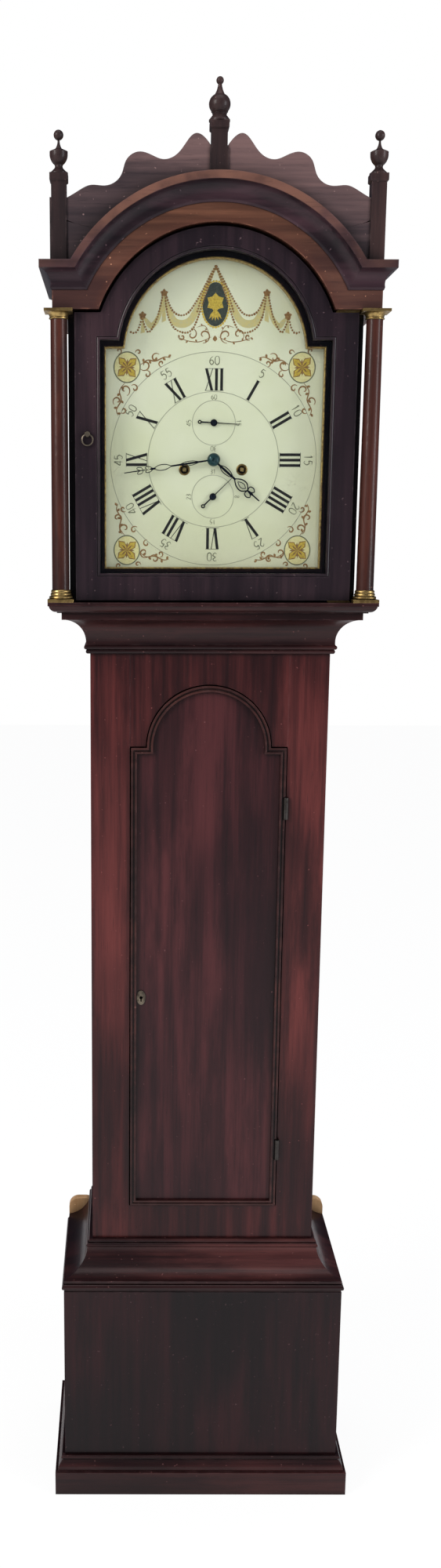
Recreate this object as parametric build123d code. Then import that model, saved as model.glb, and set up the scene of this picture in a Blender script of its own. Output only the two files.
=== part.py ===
from build123d import *
import math
import os

# Longcase clock with a break-arch hood and a painted dial.
# Millimetres, +Z up, the viewer stands at -Y. The origin is on the floor under the middle of the clock.

os.makedirs("parts", exist_ok=True)

# Depths of the case, from front to back
trunk_depth = 188.0
backboard_t = 12.0
base_reach = 43.0
plinth_t = 15.0
torus_lip = 3.0
hood_base_reach = 56.0
frieze_reach = 46.5
cornice_lip = 16.0
door_set_back = 6.5

# Heights of the base
plinth_height = 38.0
plinth_moulding_height = 23.0
base_panel_top = 339.0
torus_height = 18.0
base_cove_height = 38.0
waist_bead_height = 12.0

# Trunk and throat
trunk_width = 336.0
trunk_visible_height = 892.0
throat_bead_height = 12.0
throat_cove_height = 36.5
throat_fascia_height = 9.5
throat_cove_reach = 36.0
throat_fascia_reach = 38.0
trunk_side_t = 16.0
trunk_front_t = 20.0
base_board_t = 14.0
stile_width = 56.0
panel_floor_gap = 5.0
seat_height = 143.0
seat_t = 20.0
seat_depth = 72.0
wing_height = 385.0
wing_round = 16.0

# Trunk door
trunk_door_gap = 1.5
trunk_door_t = 18.0
trunk_door_bottom_rail = 55.0
trunk_door_shoulder = 759.0
trunk_door_arch = 88.0
door_moulding_width = 8.5
door_moulding_t = 5.0
knuckle_radius = 3.5
knuckle_length = 10.5
knuckle_gap = 0.2
hinge_pin_radius = 1.5
hinge_pin_fit = 0.05
leaf_t = 1.0
leaf_width = 15.0
upper_hinge_height = 672.0
lower_hinge_height = 147.0
escutcheon_height = 387.0
escutcheon_width = 13.0
escutcheon_length = 22.0
escutcheon_t = 1.6
escutcheon_inset = 15.5
lock_width = 34.0
lock_height = 60.0
lock_t = 8.0
bolt_length = 26.0
bolt_height = 14.0
bolt_t = 4.0
bolt_fit = 0.4
bolt_throw = 7.0

# Hood
hood_base_height = 14.5
hood_inner_gap = 2.0
hood_side_t = 12.0
hood_side_out = 195.0
frieze_height = 25.0
cornice_cove_height = 23.0
cornice_fillet_height = 10.0
frieze_arch = 165.0
arch_drop = 59.0
roof_t = 6.0
roof_inner = 212.0
mask_t = 10.0
mask_gap = 0.5
column_base_width = 35.0
column_base_height = 16.5
column_cap_height = 12.0
column_cap_width = 37.0
column_foot_radius = 11.8
column_neck_radius = 10.8
block_width = 19.5
block_height = 96.0
centre_block_width = 20.5
centre_block_foot_width = 23.5
centre_block_foot = 30.0
centre_block_height = 52.0
block_cap_height = 10.0
block_cap_lip = 1.9
crest_t = 10.0
crest_set_back = 2.0
side_crest_lip = 3.0
side_crest_height = 81.0

# Hood door
hood_door_width = 372.0
hood_door_shoulder = 370.0
hood_door_t = 20.0
hood_door_arch_gap = 3.5
hood_hinge_inset = 3.0
hinge_plate_t = 1.0
top_plate_t = 1.5
strap_t = 1.2
strap_gap = 0.3
strap_length = 30.0
strap_width = 14.0
hood_pin_radius = 1.5
hood_pin_depth = 6.0
glass_t = 2.5
glass_bed = 6.0
rebate_depth = 10.0
ovolo = 4.0
ring_height = 217.0
ring_radius = 7.2
ring_wire = 1.0
ring_stand = 3.0
ring_play = 0.8

# Dial
dial_width = 305.0
dial_height = 203.0
dial_gap = 3.5
dial_t = 2.0
dial_arch = 128.0
dial_arch_drop = 19.5
mask_lap = 5.5
mask_lap_ends = 8.5
door_sight = 6.0
dial_hole = 5.5
winding_spread = 39.0
winding_drop = 12.6
winding_hole = 5.6
subdial_offset = 48.3
foot_radius = 3.5

# Movement
plate_gap = 28.0
plate_t = 3.0
plate_space = 60.0
plate_width = 124.0
plate_above = 100.0
pillar_radius = 5.0
pillar_inset = 9.0
pivot_radius = 1.6
pivot_fit = 0.05
arbor_radius = 2.6
great_teeth = 96
centre_pinion_leaves = 8
centre_teeth = 60
third_pinion_leaves = 8
centre_module = 0.85
third_teeth = 56
escape_pinion_leaves = 7
third_module = 0.8
strike_teeth = 84
strike_module = 0.8
escape_teeth = 30
escape_radius = 20.0
cannon_teeth = 36
cannon_module = 0.9
motion_stud_radius = 0.8
minute_pinion_leaves = 6
hour_teeth = 72
motion_angle = 135.0
wheel_t = 2.2
barrel_radius = 21.0
barrel_flange = 3.5
barrel_neck = 3.6
barrel_length = 40.0
square_size = 4.6
square_reach = 4.0
pallet_height = 84.0
pallet_clear = 1.8
crutch_length = 112.0
pendulum_length = 994.0
pendulum_set_back = 20.0
pendulum_rod_radius = 2.5
bob_radius = 50.0
bob_t = 24.0
bell_radius = 45.0
bell_wall = 2.5
bell_lift = 15.0

# Weights
line_radius = 0.8
line_gap = 0.3
pulley_t = 9.0
weight_radius = 31.0
weight_length = 210.0
weight_neck = 26.0
going_pulley_drop = 380.0
strike_pulley_drop = 450.0

# Hands, turned clockwise from twelve
minute_hand_turn = 261.7
hour_hand_turn = 130.6
seconds_hand_turn = 93.2
date_hand_turn = 46.2
minute_hand_length = 124.0
hour_hand_length = 84.0
seconds_hand_length = 34.0
date_hand_length = 35.0
hand_t = 1.2

# Planes and levels that follow from the sizes
trunk_half = trunk_width / 2
cornice_reach = frieze_reach + cornice_lip
fall = barrel_radius + line_gap + line_radius
y_trunk = cornice_reach - (trunk_depth + cornice_reach) / 2
y_back = y_trunk + trunk_depth
y_board = y_back - backboard_t
base_half = trunk_half + base_reach
z_torus = base_panel_top
z_base_cove = z_torus + torus_height
z_waist = z_base_cove + base_cove_height
z_trunk = z_waist + waist_bead_height
z_throat = z_trunk + trunk_visible_height
z_throat_cove = z_throat + throat_bead_height
z_fascia = z_throat_cove + throat_cove_height
z_hood = z_fascia + throat_fascia_height
z_hood_floor = z_hood + hood_base_height
z_hood_door = z_hood_floor + hinge_plate_t + strap_gap + strap_t
z_hood_shoulder = z_hood_door + hood_door_shoulder
z_frieze = z_hood_shoulder + strap_t + strap_gap + top_plate_t
z_cove = z_frieze + frieze_height
z_fillet = z_cove + cornice_cove_height
z_cornice_top = z_fillet + cornice_fillet_height
z_arch = z_frieze - arch_drop
arch_top_radius = frieze_arch + z_cornice_top - z_frieze
z_seat = z_fascia + seat_height
z_dial = z_hood + dial_height
plate_below = z_dial - z_seat
frieze_half = trunk_half + frieze_reach
y_frieze = y_trunk - frieze_reach
y_hood_door = y_frieze + door_set_back
y_mask = y_hood_door + hood_door_t + mask_gap
y_dial = y_mask + mask_t + dial_gap
y_plate = y_dial + dial_t + plate_gap
y_inner = y_plate + plate_t
y_back_plate = y_inner + plate_space
y_behind = y_back_plate + plate_t
column_x = trunk_half + hood_base_reach - column_base_width / 2
y_column = y_trunk - hood_base_reach + column_base_width / 2
opening_half = trunk_half - stile_width
z_opening = z_trunk + trunk_door_bottom_rail - trunk_door_gap
z_trunk_door = z_opening + trunk_door_gap
z_trunk_shoulder = z_trunk + trunk_door_shoulder
trunk_door_half = opening_half - trunk_door_gap
far = 400.0
tall = 2600.0


# Helpers

def slab(x0, x1, y0, y1, z0, z1):
    return Pos((x0 + x1) / 2, (y0 + y1) / 2, (z0 + z1) / 2) * Box(x1 - x0, y1 - y0, z1 - z0)


def mirrored(shape):
    return mirror(shape, about=Plane.YZ)


def group(*shapes):
    solids = []
    for shape in shapes:
        solids += shape.solids()
    return Compound(children=solids)


def face_of(*pieces):
    edges = []
    for piece in pieces:
        edges += piece.edges()
    return Face(Wire(edges))


def polygon(points):
    return Face(Wire(Polyline(*points, close=True).edges()))


def rectangle(x0, x1, z0, z1):
    return polygon([(x0, z0), (x1, z0), (x1, z1), (x0, z1)])


def disc(radius, x=0.0, z=0.0):
    return Pos(x, z) * Circle(radius)


def board(outline, y_front, thickness):
    # An outline drawn in front view, with its front face at y_front
    return extrude(Plane.XZ.offset(-(y_front + thickness)) * outline, thickness, dir=(0, -1, 0))


def rod(radius, x, z, y0, y1):
    # A round bar that runs from front to back
    return board(disc(radius, x, z), y0, y1 - y0)


def turned(profile, x, y, z):
    # A turned piece on an upright axis, from a half outline of radius and height
    return Pos(x, y, z) * revolve(Plane.XZ * profile, Axis.Z)


def half_outline(*pieces):
    return face_of(*pieces)


def side_profile(outline, y_near, y_far):
    # An outline of reach and height beyond the right side of the trunk, run from front to back
    plane = Plane(origin=(trunk_half, y_far, 0), x_dir=(1, 0, 0), z_dir=(0, -1, 0))
    return extrude(plane * outline, y_far - y_near, dir=(0, -1, 0))


def front_profile(outline):
    # The same outline in front of the trunk, run from side to side
    plane = Plane(origin=(far, y_trunk, 0), x_dir=(0, -1, 0), z_dir=(-1, 0, 0))
    return extrude(plane * outline, 2 * far, dir=(-1, 0, 0))


def plan_prism(points):
    return extrude(polygon(points), tall, dir=(0, 0, 1))


mitre_out = 120.0
mitre_in = 70.0
front_corner = (trunk_half + mitre_out, y_trunk - mitre_out)
inner_corner = (trunk_half - mitre_in, y_trunk + mitre_in)


def front_run(outline):
    corners = [front_corner, inner_corner, (-inner_corner[0], inner_corner[1]), (-front_corner[0], front_corner[1])]
    return front_profile(outline) & plan_prism(corners)


def side_run(outline, y_end):
    corners = [front_corner, (front_corner[0], y_end), (inner_corner[0], y_end), inner_corner]
    return side_profile(outline, front_corner[1], y_end) & plan_prism(corners)


def mitred_run(outline, y_end):
    # Front length and two side lengths, mitred at the front corners
    side = side_run(outline, y_end)
    return [front_run(outline), side, mirrored(side)]


# Case

def backboard():
    neck = trunk_half - 0.5
    broad = hood_side_out - hood_side_t - hood_inner_gap
    z_broad = z_hood_floor + hood_inner_gap
    lower = rectangle(-neck, neck, 0, z_broad)
    upper = rectangle(-broad, broad, z_broad, z_fillet - hood_inner_gap)
    arch_radius = roof_inner - hood_inner_gap
    z_cut = z_fillet - hood_inner_gap
    arch = Pos(0, z_arch) * Circle(arch_radius) & rectangle(-broad, broad, z_cut, z_arch + far)
    main = board(lower + upper + arch, y_board, backboard_t)
    wing_face = rectangle(neck, base_half, 0, wing_height)
    top_corners = wing_face.vertices().sort_by(Axis.Y)[-2:]
    wing_face = fillet(top_corners, wing_round)
    wing = board(wing_face, y_board, backboard_t)
    return group(main, wing, mirrored(wing))


def base_boards():
    front_y = y_trunk - base_reach
    inner = base_half - base_board_t
    front = slab(-base_half, base_half, front_y, front_y + base_board_t, panel_floor_gap, z_torus)
    side = slab(inner, base_half, front_y + base_board_t, y_board, panel_floor_gap, z_torus)
    floor = slab(-inner, inner, front_y + base_board_t, y_board, plinth_height / 2, plinth_height)
    return group(front, side, mirrored(side), floor)


def plinth():
    out = base_reach + plinth_t
    boards = mitred_run(rectangle(base_reach, out, 0, plinth_height), y_back)
    z0 = plinth_height
    bead = 5.0
    step = 4.0
    z_bead = z0 + plinth_moulding_height - bead
    lip = base_reach + plinth_t - step
    bead_out = base_reach + bead * 0.9
    section = face_of(
        Polyline((base_reach, z0 + plinth_moulding_height), (base_reach, z0), (lip, z0), (lip, z0 + 3.0)),
        ThreePointArc((lip, z0 + 3.0), (lip - 2.2, z0 + 10.0), (bead_out - 1.0, z_bead - 1.5)),
        Polyline((bead_out - 1.0, z_bead - 1.5), (bead_out - 1.0, z_bead), (bead_out, z_bead)),
        ThreePointArc((bead_out, z_bead), (bead_out + 1.6, z_bead + bead / 2), (bead_out, z_bead + bead)),
        Line((bead_out, z_bead + bead), (base_reach, z_bead + bead)))
    return group(*boards, *mitred_run(section, y_board))


def base_moulding():
    out = base_reach
    lip = base_reach + torus_lip
    quirk = 3.0
    z_bead = z_torus + quirk
    bead = 9.0
    z_step = z_bead + bead
    cove_foot = out - 2.0
    cove_head = 7.5
    section = face_of(
        Polyline((0, z_trunk), (0, z_torus), (out - 1.0, z_torus), (out - 1.0, z_bead), (out, z_bead)),
        ThreePointArc((out, z_bead), (lip, z_bead + bead / 2), (out, z_step)),
        Polyline((out, z_step), (out - 3.0, z_step), (out - 3.0, z_step + 2.0), (out, z_step + 2.0), (out, z_base_cove)),
        Line((out, z_base_cove), (cove_foot, z_base_cove)),
        ThreePointArc((cove_foot, z_base_cove), (cove_head + 9.5, z_base_cove + 14.5), (cove_head, z_waist)),
        *waist_beads(z_waist))
    return group(*mitred_run(section, y_board))


def waist_beads(z0):
    # Two small beads over each other, from the cove up to the plain face of the trunk
    reach = 7.5
    small = waist_bead_height / 2
    return [
        ThreePointArc((reach, z0), (reach + 1.8, z0 + small / 2), (reach, z0 + small)),
        Polyline((reach, z0 + small), (reach - 2.5, z0 + small)),
        ThreePointArc((reach - 2.5, z0 + small), (reach - 1.0, z0 + 1.5 * small), (reach - 2.5, z0 + 2 * small)),
        Line((reach - 2.5, z0 + 2 * small), (0, z0 + 2 * small))]


def throat_moulding():
    small = throat_bead_height / 2
    z0 = z_throat
    section = face_of(
        Polyline((0, z_hood), (0, z0), (4.0, z0)),
        ThreePointArc((4.0, z0), (6.0, z0 + small / 2), (4.5, z0 + small)),
        Line((4.5, z0 + small), (6.0, z0 + small)),
        ThreePointArc((6.0, z0 + small), (8.5, z0 + 1.5 * small), (6.0, z_throat_cove)),
        ThreePointArc((6.0, z_throat_cove), (14.5, z_throat_cove + 26.5), (throat_cove_reach, z_fascia)),
        Polyline((throat_cove_reach, z_fascia), (throat_fascia_reach, z_fascia), (throat_fascia_reach, z_hood)),
        Line((throat_fascia_reach, z_hood), (0, z_hood)))
    return group(*mitred_run(section, y_board))


def trunk_sides():
    inner = trunk_half - trunk_side_t
    side = slab(inner, trunk_half, y_trunk + trunk_front_t, y_board, z_torus, z_seat - seat_t)
    return group(side, mirrored(side))


def break_arch(half, z0, z_shoulder, radius, z_centre):
    # Straight sided outline with level shoulders and a round arch between them
    return rectangle(-half, half, z0, z_shoulder) + disc(radius, 0, z_centre)


def trunk_front_frame():
    half = opening_half
    stile = slab(half, trunk_half, y_trunk, y_trunk + trunk_front_t, z_torus, z_hood)
    leaf_height = 3 * knuckle_length
    for height in (upper_hinge_height, lower_hinge_height):
        z0 = z_trunk + height - leaf_height / 2
        stile -= slab(half, half + leaf_t, y_trunk, y_trunk + leaf_width, z0, z0 + leaf_height)
    left = slab(-trunk_half, -half, y_trunk, y_trunk + trunk_front_t, z_torus, z_hood)
    z_lock = z_trunk + escutcheon_height
    mortise = bolt_height / 2 + bolt_fit
    y_bolt = y_trunk + trunk_door_t - lock_t / 2
    y_half = bolt_t / 2 + bolt_fit
    left -= slab(-half - bolt_throw - 1, -half, y_bolt - y_half, y_bolt + y_half, z_lock - mortise, z_lock + mortise)
    hole = break_arch(half, z_opening - 1, z_trunk_shoulder + trunk_door_gap, trunk_door_arch + trunk_door_gap,
                      z_trunk_shoulder)
    upper = rectangle(-half, half, z_trunk_shoulder + trunk_door_gap, z_hood) - hole
    lower = rectangle(-half, half, z_torus, z_opening)
    return group(stile, left, board(upper, y_trunk, trunk_front_t), board(lower, y_trunk, trunk_front_t))


def seat_board():
    y0 = y_trunk + trunk_front_t
    seat = slab(-trunk_half, trunk_half, y0, y0 + seat_depth, z_seat - seat_t, z_seat)
    for side in (-1, 1):
        # The running side of the line passes freely, the fixed side is knotted above its hole
        for place, grow in ((-1, 2 * line_radius), (1, line_gap)):
            x = side * (winding_spread + place * fall)
            seat -= Pos(x, y_line, z_seat - seat_t / 2) * Cylinder(line_radius + grow, 2 * seat_t)
    return group(seat)


def hinge_set(x, y, z, fixed):
    # Three knuckles on one pin: the fixed leaf has the outer two, the door leaf the middle one
    whole = 3 * knuckle_length
    z0 = z - whole / 2
    outer = Pos(x, y, z0 + knuckle_length / 2) * Cylinder(knuckle_radius, knuckle_length)
    outer += Pos(x, y, z0 + 2.5 * knuckle_length) * Cylinder(knuckle_radius, knuckle_length)
    middle_length = knuckle_length - 2 * knuckle_gap
    middle = Pos(x, y, z) * Cylinder(knuckle_radius, middle_length)
    swing = knuckle_radius + 0.4
    if fixed:
        leaf = slab(opening_half, opening_half + leaf_t, y, y_trunk + leaf_width, z0, z0 + whole)
        leaf -= Pos(x, y, z) * Cylinder(swing, knuckle_length + 0.01)
        pin = Pos(x, y, z) * Cylinder(hinge_pin_radius, whole)
        return outer + leaf + pin
    leaf = slab(trunk_door_half - leaf_t, trunk_door_half, y, y_trunk + leaf_width, z0, z0 + whole)
    for end in (-1, 1):
        leaf -= Pos(x, y, z + end * knuckle_length) * Cylinder(swing, knuckle_length + 2 * knuckle_gap)
    leaf += middle
    return leaf - Pos(x, y, z) * Cylinder(hinge_pin_radius + hinge_pin_fit, tall)


hinge_x = (opening_half + trunk_door_half) / 2
hinge_y = y_trunk - knuckle_radius
hinge_levels = (z_trunk + upper_hinge_height, z_trunk + lower_hinge_height)


def trunk_hinges(fixed):
    return group(*[hinge_set(hinge_x, hinge_y, z, fixed) for z in hinge_levels])


# Trunk door

def trunk_door_outline(inset):
    return break_arch(trunk_door_half - inset, z_trunk_door + inset, z_trunk_shoulder - inset,
                      trunk_door_arch - inset, z_trunk_shoulder)


lock_x = -trunk_door_half + escutcheon_inset
z_lock = z_trunk + escutcheon_height


def keyhole(grow):
    slot = rectangle(lock_x - 0.9 - grow, lock_x + 0.9 + grow, z_lock - 6.0 - grow, z_lock)
    return disc(2.4 + grow, lock_x, z_lock) + slot


def trunk_door_panel():
    panel = board(trunk_door_outline(0), y_trunk, trunk_door_t)
    leaf_height = 3 * knuckle_length
    for z in hinge_levels:
        panel -= slab(trunk_door_half - leaf_t, trunk_door_half, y_trunk, y_trunk + leaf_width,
                      z - leaf_height / 2, z + leaf_height / 2)
    panel -= board(keyhole(0.3), y_trunk, trunk_door_t)
    x0 = -trunk_door_half
    panel -= slab(x0, x0 + lock_width, y_trunk + trunk_door_t - lock_t, y_trunk + trunk_door_t,
                  z_lock - lock_height / 2, z_lock + lock_height / 2)
    return group(panel)


def trunk_door_moulding():
    # A planted frame: a low outer bead, a hollow and a taller inner bead
    y0 = y_trunk - door_moulding_t
    steps = [(0, 3.2, 3.2), (3.2, 5.6, 1.6), (5.6, door_moulding_width, door_moulding_t)]
    rings = None
    for outer, inner, height in steps:
        ring = trunk_door_outline(outer) - trunk_door_outline(inner)
        strip = board(ring, y_trunk - height, height)
        rings = strip if rings is None else rings + strip
    for z in hinge_levels:
        half = 1.5 * knuckle_length + 0.5
        cut = hinge_x - knuckle_radius - 0.5
        rings -= slab(cut, trunk_door_half + 1, y0 - 1, y_trunk, z - half, z + half)
    return group(rings)


def trunk_escutcheon():
    plate = Pos(lock_x, z_lock) * Ellipse(escutcheon_width / 2, escutcheon_length / 2)
    solid = board(plate - keyhole(0), y_trunk - escutcheon_t, escutcheon_t)
    for dx, dz in ((0, escutcheon_length / 2 - 3), (-4, -4), (4, -4)):
        pin = Pos(lock_x + dx, y_trunk - escutcheon_t, z_lock + dz) * Sphere(0.9)
        solid += pin & slab(-far, far, -far, y_trunk - escutcheon_t / 2, 0, tall)
    return group(solid)


y_bolt = y_trunk + trunk_door_t - lock_t / 2


def trunk_lock():
    x0 = -trunk_door_half
    y0 = y_trunk + trunk_door_t - lock_t
    case = slab(x0, x0 + lock_width, y0, y0 + lock_t, z_lock - lock_height / 2, z_lock + lock_height / 2)
    half = bolt_height / 2 + bolt_fit
    y_half = bolt_t / 2 + bolt_fit
    case -= slab(x0, x0 + bolt_length + 2, y_bolt - y_half, y_bolt + y_half, z_lock - half, z_lock + half)
    return group(case)


def lock_bolt():
    x0 = -trunk_door_half + bolt_fit
    half = bolt_height / 2
    return group(slab(x0, x0 + bolt_length, y_bolt - bolt_t / 2, y_bolt + bolt_t / 2, z_lock - half, z_lock + half))


# Hood

def hood_base():
    out = hood_base_reach
    inner = hood_inner_gap
    z1 = z_hood_floor
    section = face_of(
        Polyline((inner, z1), (inner, z_hood), (out - 12.0, z_hood), (out - 12.0, z_hood + 1.5)),
        Line((out - 12.0, z_hood + 1.5), (out - 10.5, z_hood + 1.5)),
        ThreePointArc((out - 10.5, z_hood + 1.5), (out - 4.2, z_hood + 4.4), (out - 1.5, z1 - 5.0)),
        Polyline((out - 1.5, z1 - 5.0), (out, z1 - 5.0), (out, z1), (inner, z1)))
    return group(*mitred_run(section, y_back))


def hood_sides():
    inner = hood_side_out - hood_side_t
    side = slab(inner, hood_side_out, y_mask, y_back, z_hood_floor, z_fillet)
    return group(side, mirrored(side))


def above(z):
    return rectangle(-far, far, z, z + far)


z_sight_arch = z_dial + dial_width / 2 - dial_arch_drop


def sight(grow):
    # The opening round the dial: straight sides, level shoulders and the arch
    half = dial_width / 2 - mask_lap + grow
    z0 = z_dial - dial_width / 2 + mask_lap_ends - grow
    z1 = z_dial + dial_width / 2 - mask_lap_ends + grow
    return break_arch(half, z0, z1, dial_arch - mask_lap + grow, z_sight_arch)


def hood_mask():
    half = hood_side_out - hood_side_t
    outline = rectangle(-half, half, z_hood_floor, z_fillet)
    outline += (disc(roof_inner, 0, z_arch) & above(z_fillet)) & rectangle(-half, half, 0, tall)
    return group(board(outline - sight(0), y_mask, mask_t))


def hood_roof():
    ring = disc(roof_inner + roof_t, 0, z_arch) - disc(roof_inner, 0, z_arch)
    return group(board(ring & above(z_fillet), y_mask, y_back - y_mask))


def hood_frieze():
    outline = rectangle(-frieze_half, frieze_half, z_frieze, z_cornice_top)
    outline += disc(arch_top_radius, 0, z_arch) & above(z_frieze)
    outline -= disc(frieze_arch, 0, z_arch)
    front = board(outline, y_frieze, y_mask - y_frieze)
    side = slab(hood_side_out, frieze_half, y_mask, y_back, z_frieze, z_cornice_top)
    return group(front, side, mirrored(side))


def cornice_section():
    out = frieze_reach
    lip = cornice_reach
    return face_of(
        Polyline((out, z_cornice_top), (out, z_cove - 1.5), (out + 1.0, z_cove - 1.5), (out + 2.2, z_cove + 1.5)),
        ThreePointArc((out + 2.2, z_cove + 1.5), (out + 6.0, z_fillet - 6.0), (lip - 0.8, z_fillet)),
        Polyline((lip - 0.8, z_fillet), (lip, z_fillet), (lip, z_cornice_top), (out, z_cornice_top)))


def mitre_point(height):
    # Where the level moulding meets the arched one, at a height above the foot of the frieze
    radius = frieze_arch + height
    drop = z_frieze + height - z_arch
    return math.sqrt(radius * radius - drop * drop), z_frieze + height


def hood_cornice():
    foot_x, foot_z = mitre_point(0)
    head_x, head_z = mitre_point(z_cornice_top - z_frieze)
    dx = head_x - foot_x
    dz = head_z - foot_z
    low = (foot_x - dx, foot_z - dz)
    high = (head_x + dx, head_z + dz)
    outer = polygon([low, high, (far, high[1]), (far, low[1])])
    crown = polygon([low, high, (high[0], z_arch + far), (-high[0], z_arch + far), (-high[0], high[1]), (-low[0], low[1])])
    section = cornice_section()
    level = front_run(section) & board(outer, y_trunk - far, 2 * far)
    rise = z_arch + frieze_arch - z_frieze
    plane = Plane(origin=(0, y_trunk, rise), x_dir=(0, -1, 0), z_dir=(-1, 0, 0))
    ring = revolve(plane * section, Axis((0, 0, z_arch), (0, 1, 0)))
    arch = ring & board(crown, y_trunk - far, 2 * far)
    side = side_run(section, y_back)
    return group(arch, level, mirrored(level), side, mirrored(side))


block_x = frieze_half - block_width / 2
block_y = y_frieze + block_width / 2
z_crown = z_arch + arch_top_radius


def finial_blocks():
    block = slab(frieze_half - block_width, frieze_half, y_frieze, y_frieze + block_width,
                 z_cornice_top, z_cornice_top + block_height)
    half = block_width / 2 + block_cap_lip
    z0 = z_cornice_top + block_height
    cap = slab(block_x - half, block_x + half, block_y - half, block_y + half, z0, z0 + block_cap_height)
    cap = chamfer(cap.edges().group_by(Axis.Z)[0], block_cap_lip * 0.8)
    middle = slab(-centre_block_width / 2, centre_block_width / 2, y_frieze, y_frieze + centre_block_width,
                  z_crown, z_crown + centre_block_height)
    foot_half = centre_block_foot_width / 2
    foot = slab(-foot_half, foot_half, y_frieze, y_frieze + crest_set_back, z_crown - 4.0, z_crown + centre_block_foot)
    foot -= slab(-centre_block_width / 2, centre_block_width / 2, y_frieze, y_frieze + far, z_crown, tall)
    foot -= rod(arch_top_radius, 0, z_arch, y_frieze - 1, y_frieze + far)
    centre_half = centre_block_width / 2 + block_cap_lip
    centre_y = y_frieze + centre_block_width / 2
    z1 = z_crown + centre_block_height
    centre_cap = slab(-centre_half, centre_half, centre_y - centre_half, centre_y + centre_half,
                      z1, z1 + block_cap_height)
    centre_cap = chamfer(centre_cap.edges().group_by(Axis.Z)[0], block_cap_lip * 0.8)
    middle -= rod(arch_top_radius, 0, z_arch, y_frieze - 1, y_frieze + far)
    middle += foot
    return group(block, mirrored(block), cap, mirrored(cap), middle, centre_cap)


def side_finial(x):
    z = z_cornice_top + block_height + block_cap_height
    half = half_outline(
        Polyline((0, 42.0), (0, 0), (11.8, 0), (11.8, 1.2)),
        ThreePointArc((11.8, 1.2), (8.4, 4.0), (6.4, 6.0)),
        ThreePointArc((6.4, 6.0), (5.0, 8.5), (5.6, 11.0)),
        ThreePointArc((5.6, 11.0), (9.8, 16.0), (11.6, 24.0)),
        Polyline((11.6, 24.0), (11.6, 26.5), (4.2, 30.0)),
        ThreePointArc((4.2, 30.0), (2.2, 34.0), (1.7, 42.0)),
        Line((1.7, 42.0), (0, 42.0)))
    return turned(half, x, block_y, z) + Pos(x, block_y, z + 46.0) * Sphere(6.3)


def centre_finial():
    z = z_crown + centre_block_height + block_cap_height
    y = y_frieze + centre_block_width / 2
    half = half_outline(
        Polyline((0, 45.0), (0, 0), (13.5, 0), (13.5, 2.0)),
        ThreePointArc((13.5, 2.0), (10.5, 5.6), (8.6, 8.0)),
        Polyline((8.6, 8.0), (9.6, 9.2), (9.0, 9.8), (10.8, 11.4), (10.3, 12.0)),
        ThreePointArc((10.3, 12.0), (13.7, 21.5), (6.6, 31.6)),
        ThreePointArc((6.6, 31.6), (3.6, 38.0), (2.4, 45.0)),
        Line((2.4, 45.0), (0, 45.0)))
    return turned(half, 0, y, z) + Pos(0, y, z + 48.0) * Sphere(4.8)


def finials():
    return group(side_finial(block_x), side_finial(-block_x), centre_finial())


def cresting():
    # Two waved boards that climb to the middle, with filling pieces below their outer ends
    inner_x = centre_block_width / 2
    outer_x = frieze_half - block_width
    span = outer_x - inner_x
    rise = z_cornice_top
    waves = [(0.0, 138.0), (0.13, 151.0), (0.235, 128.5), (0.335, 122.3), (0.42, 128.0), (0.505, 131.0),
             (0.585, 121.5), (0.62, 104.0), (0.67, 94.5), (0.74, 91.0), (0.83, 91.8), (0.92, 84.5), (1.0, 76.5)]
    points = [(inner_x + share * span, rise + height) for share, height in waves]
    low = rise + 49.0
    joint_drop = 9.0
    face = face_of(
        Spline(*points),
        Polyline(points[-1], (outer_x, low + 1), (inner_x, low - joint_drop - 60), points[0]))
    joint = polygon([(outer_x + 1, low), (inner_x, low - joint_drop * span / 35.0), (inner_x, 0), (outer_x + 1, 0)])
    hollow = disc(arch_top_radius, 0, z_arch)
    y0 = y_frieze + crest_set_back
    upper = board(face - hollow - joint, y0, crest_t)
    fill = polygon([(outer_x, rise), (outer_x, low - 0.4), (outer_x - 45.0, low - 12.0), (outer_x - 45.0, rise)])
    lower = board(fill - hollow, y0, crest_t)
    # Side boards that fall away towards the back
    x1 = frieze_half + side_crest_lip
    y_near = y_frieze + block_width
    y_end = y_back - 4.0
    high = z_cornice_top + side_crest_height
    length = y_end - y_near
    side_face = face_of(
        Spline((y_near, high), (y_near + 0.18 * length, high - 6.0), (y_near + 0.42 * length, high - 36.0),
               (y_near + 0.62 * length, high - 42.0), (y_near + 0.85 * length, high - 60.0), (y_end, high - 68.0)),
        Polyline((y_end, high - 68.0), (y_end, rise), (y_near, rise), (y_near, high)))
    side = extrude(Plane.YZ.offset(x1 - crest_t) * side_face, crest_t, dir=(1, 0, 0))
    return group(upper, mirrored(upper), lower, mirrored(lower), side, mirrored(side))


z_shaft = z_hood_floor + column_base_height
z_shaft_top = z_frieze - column_cap_height


def column_shafts():
    middle = z_shaft + 0.45 * (z_shaft_top - z_shaft)
    half = half_outline(
        Polyline((0, z_shaft_top), (0, z_shaft), (column_foot_radius, z_shaft)),
        ThreePointArc((column_foot_radius, z_shaft), (column_foot_radius - 0.3, middle),
                      (column_neck_radius, z_shaft_top)),
        Line((column_neck_radius, z_shaft_top), (0, z_shaft_top)))
    shaft = turned(half, column_x, y_column, 0)
    return group(shaft, mirrored(shaft))


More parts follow.
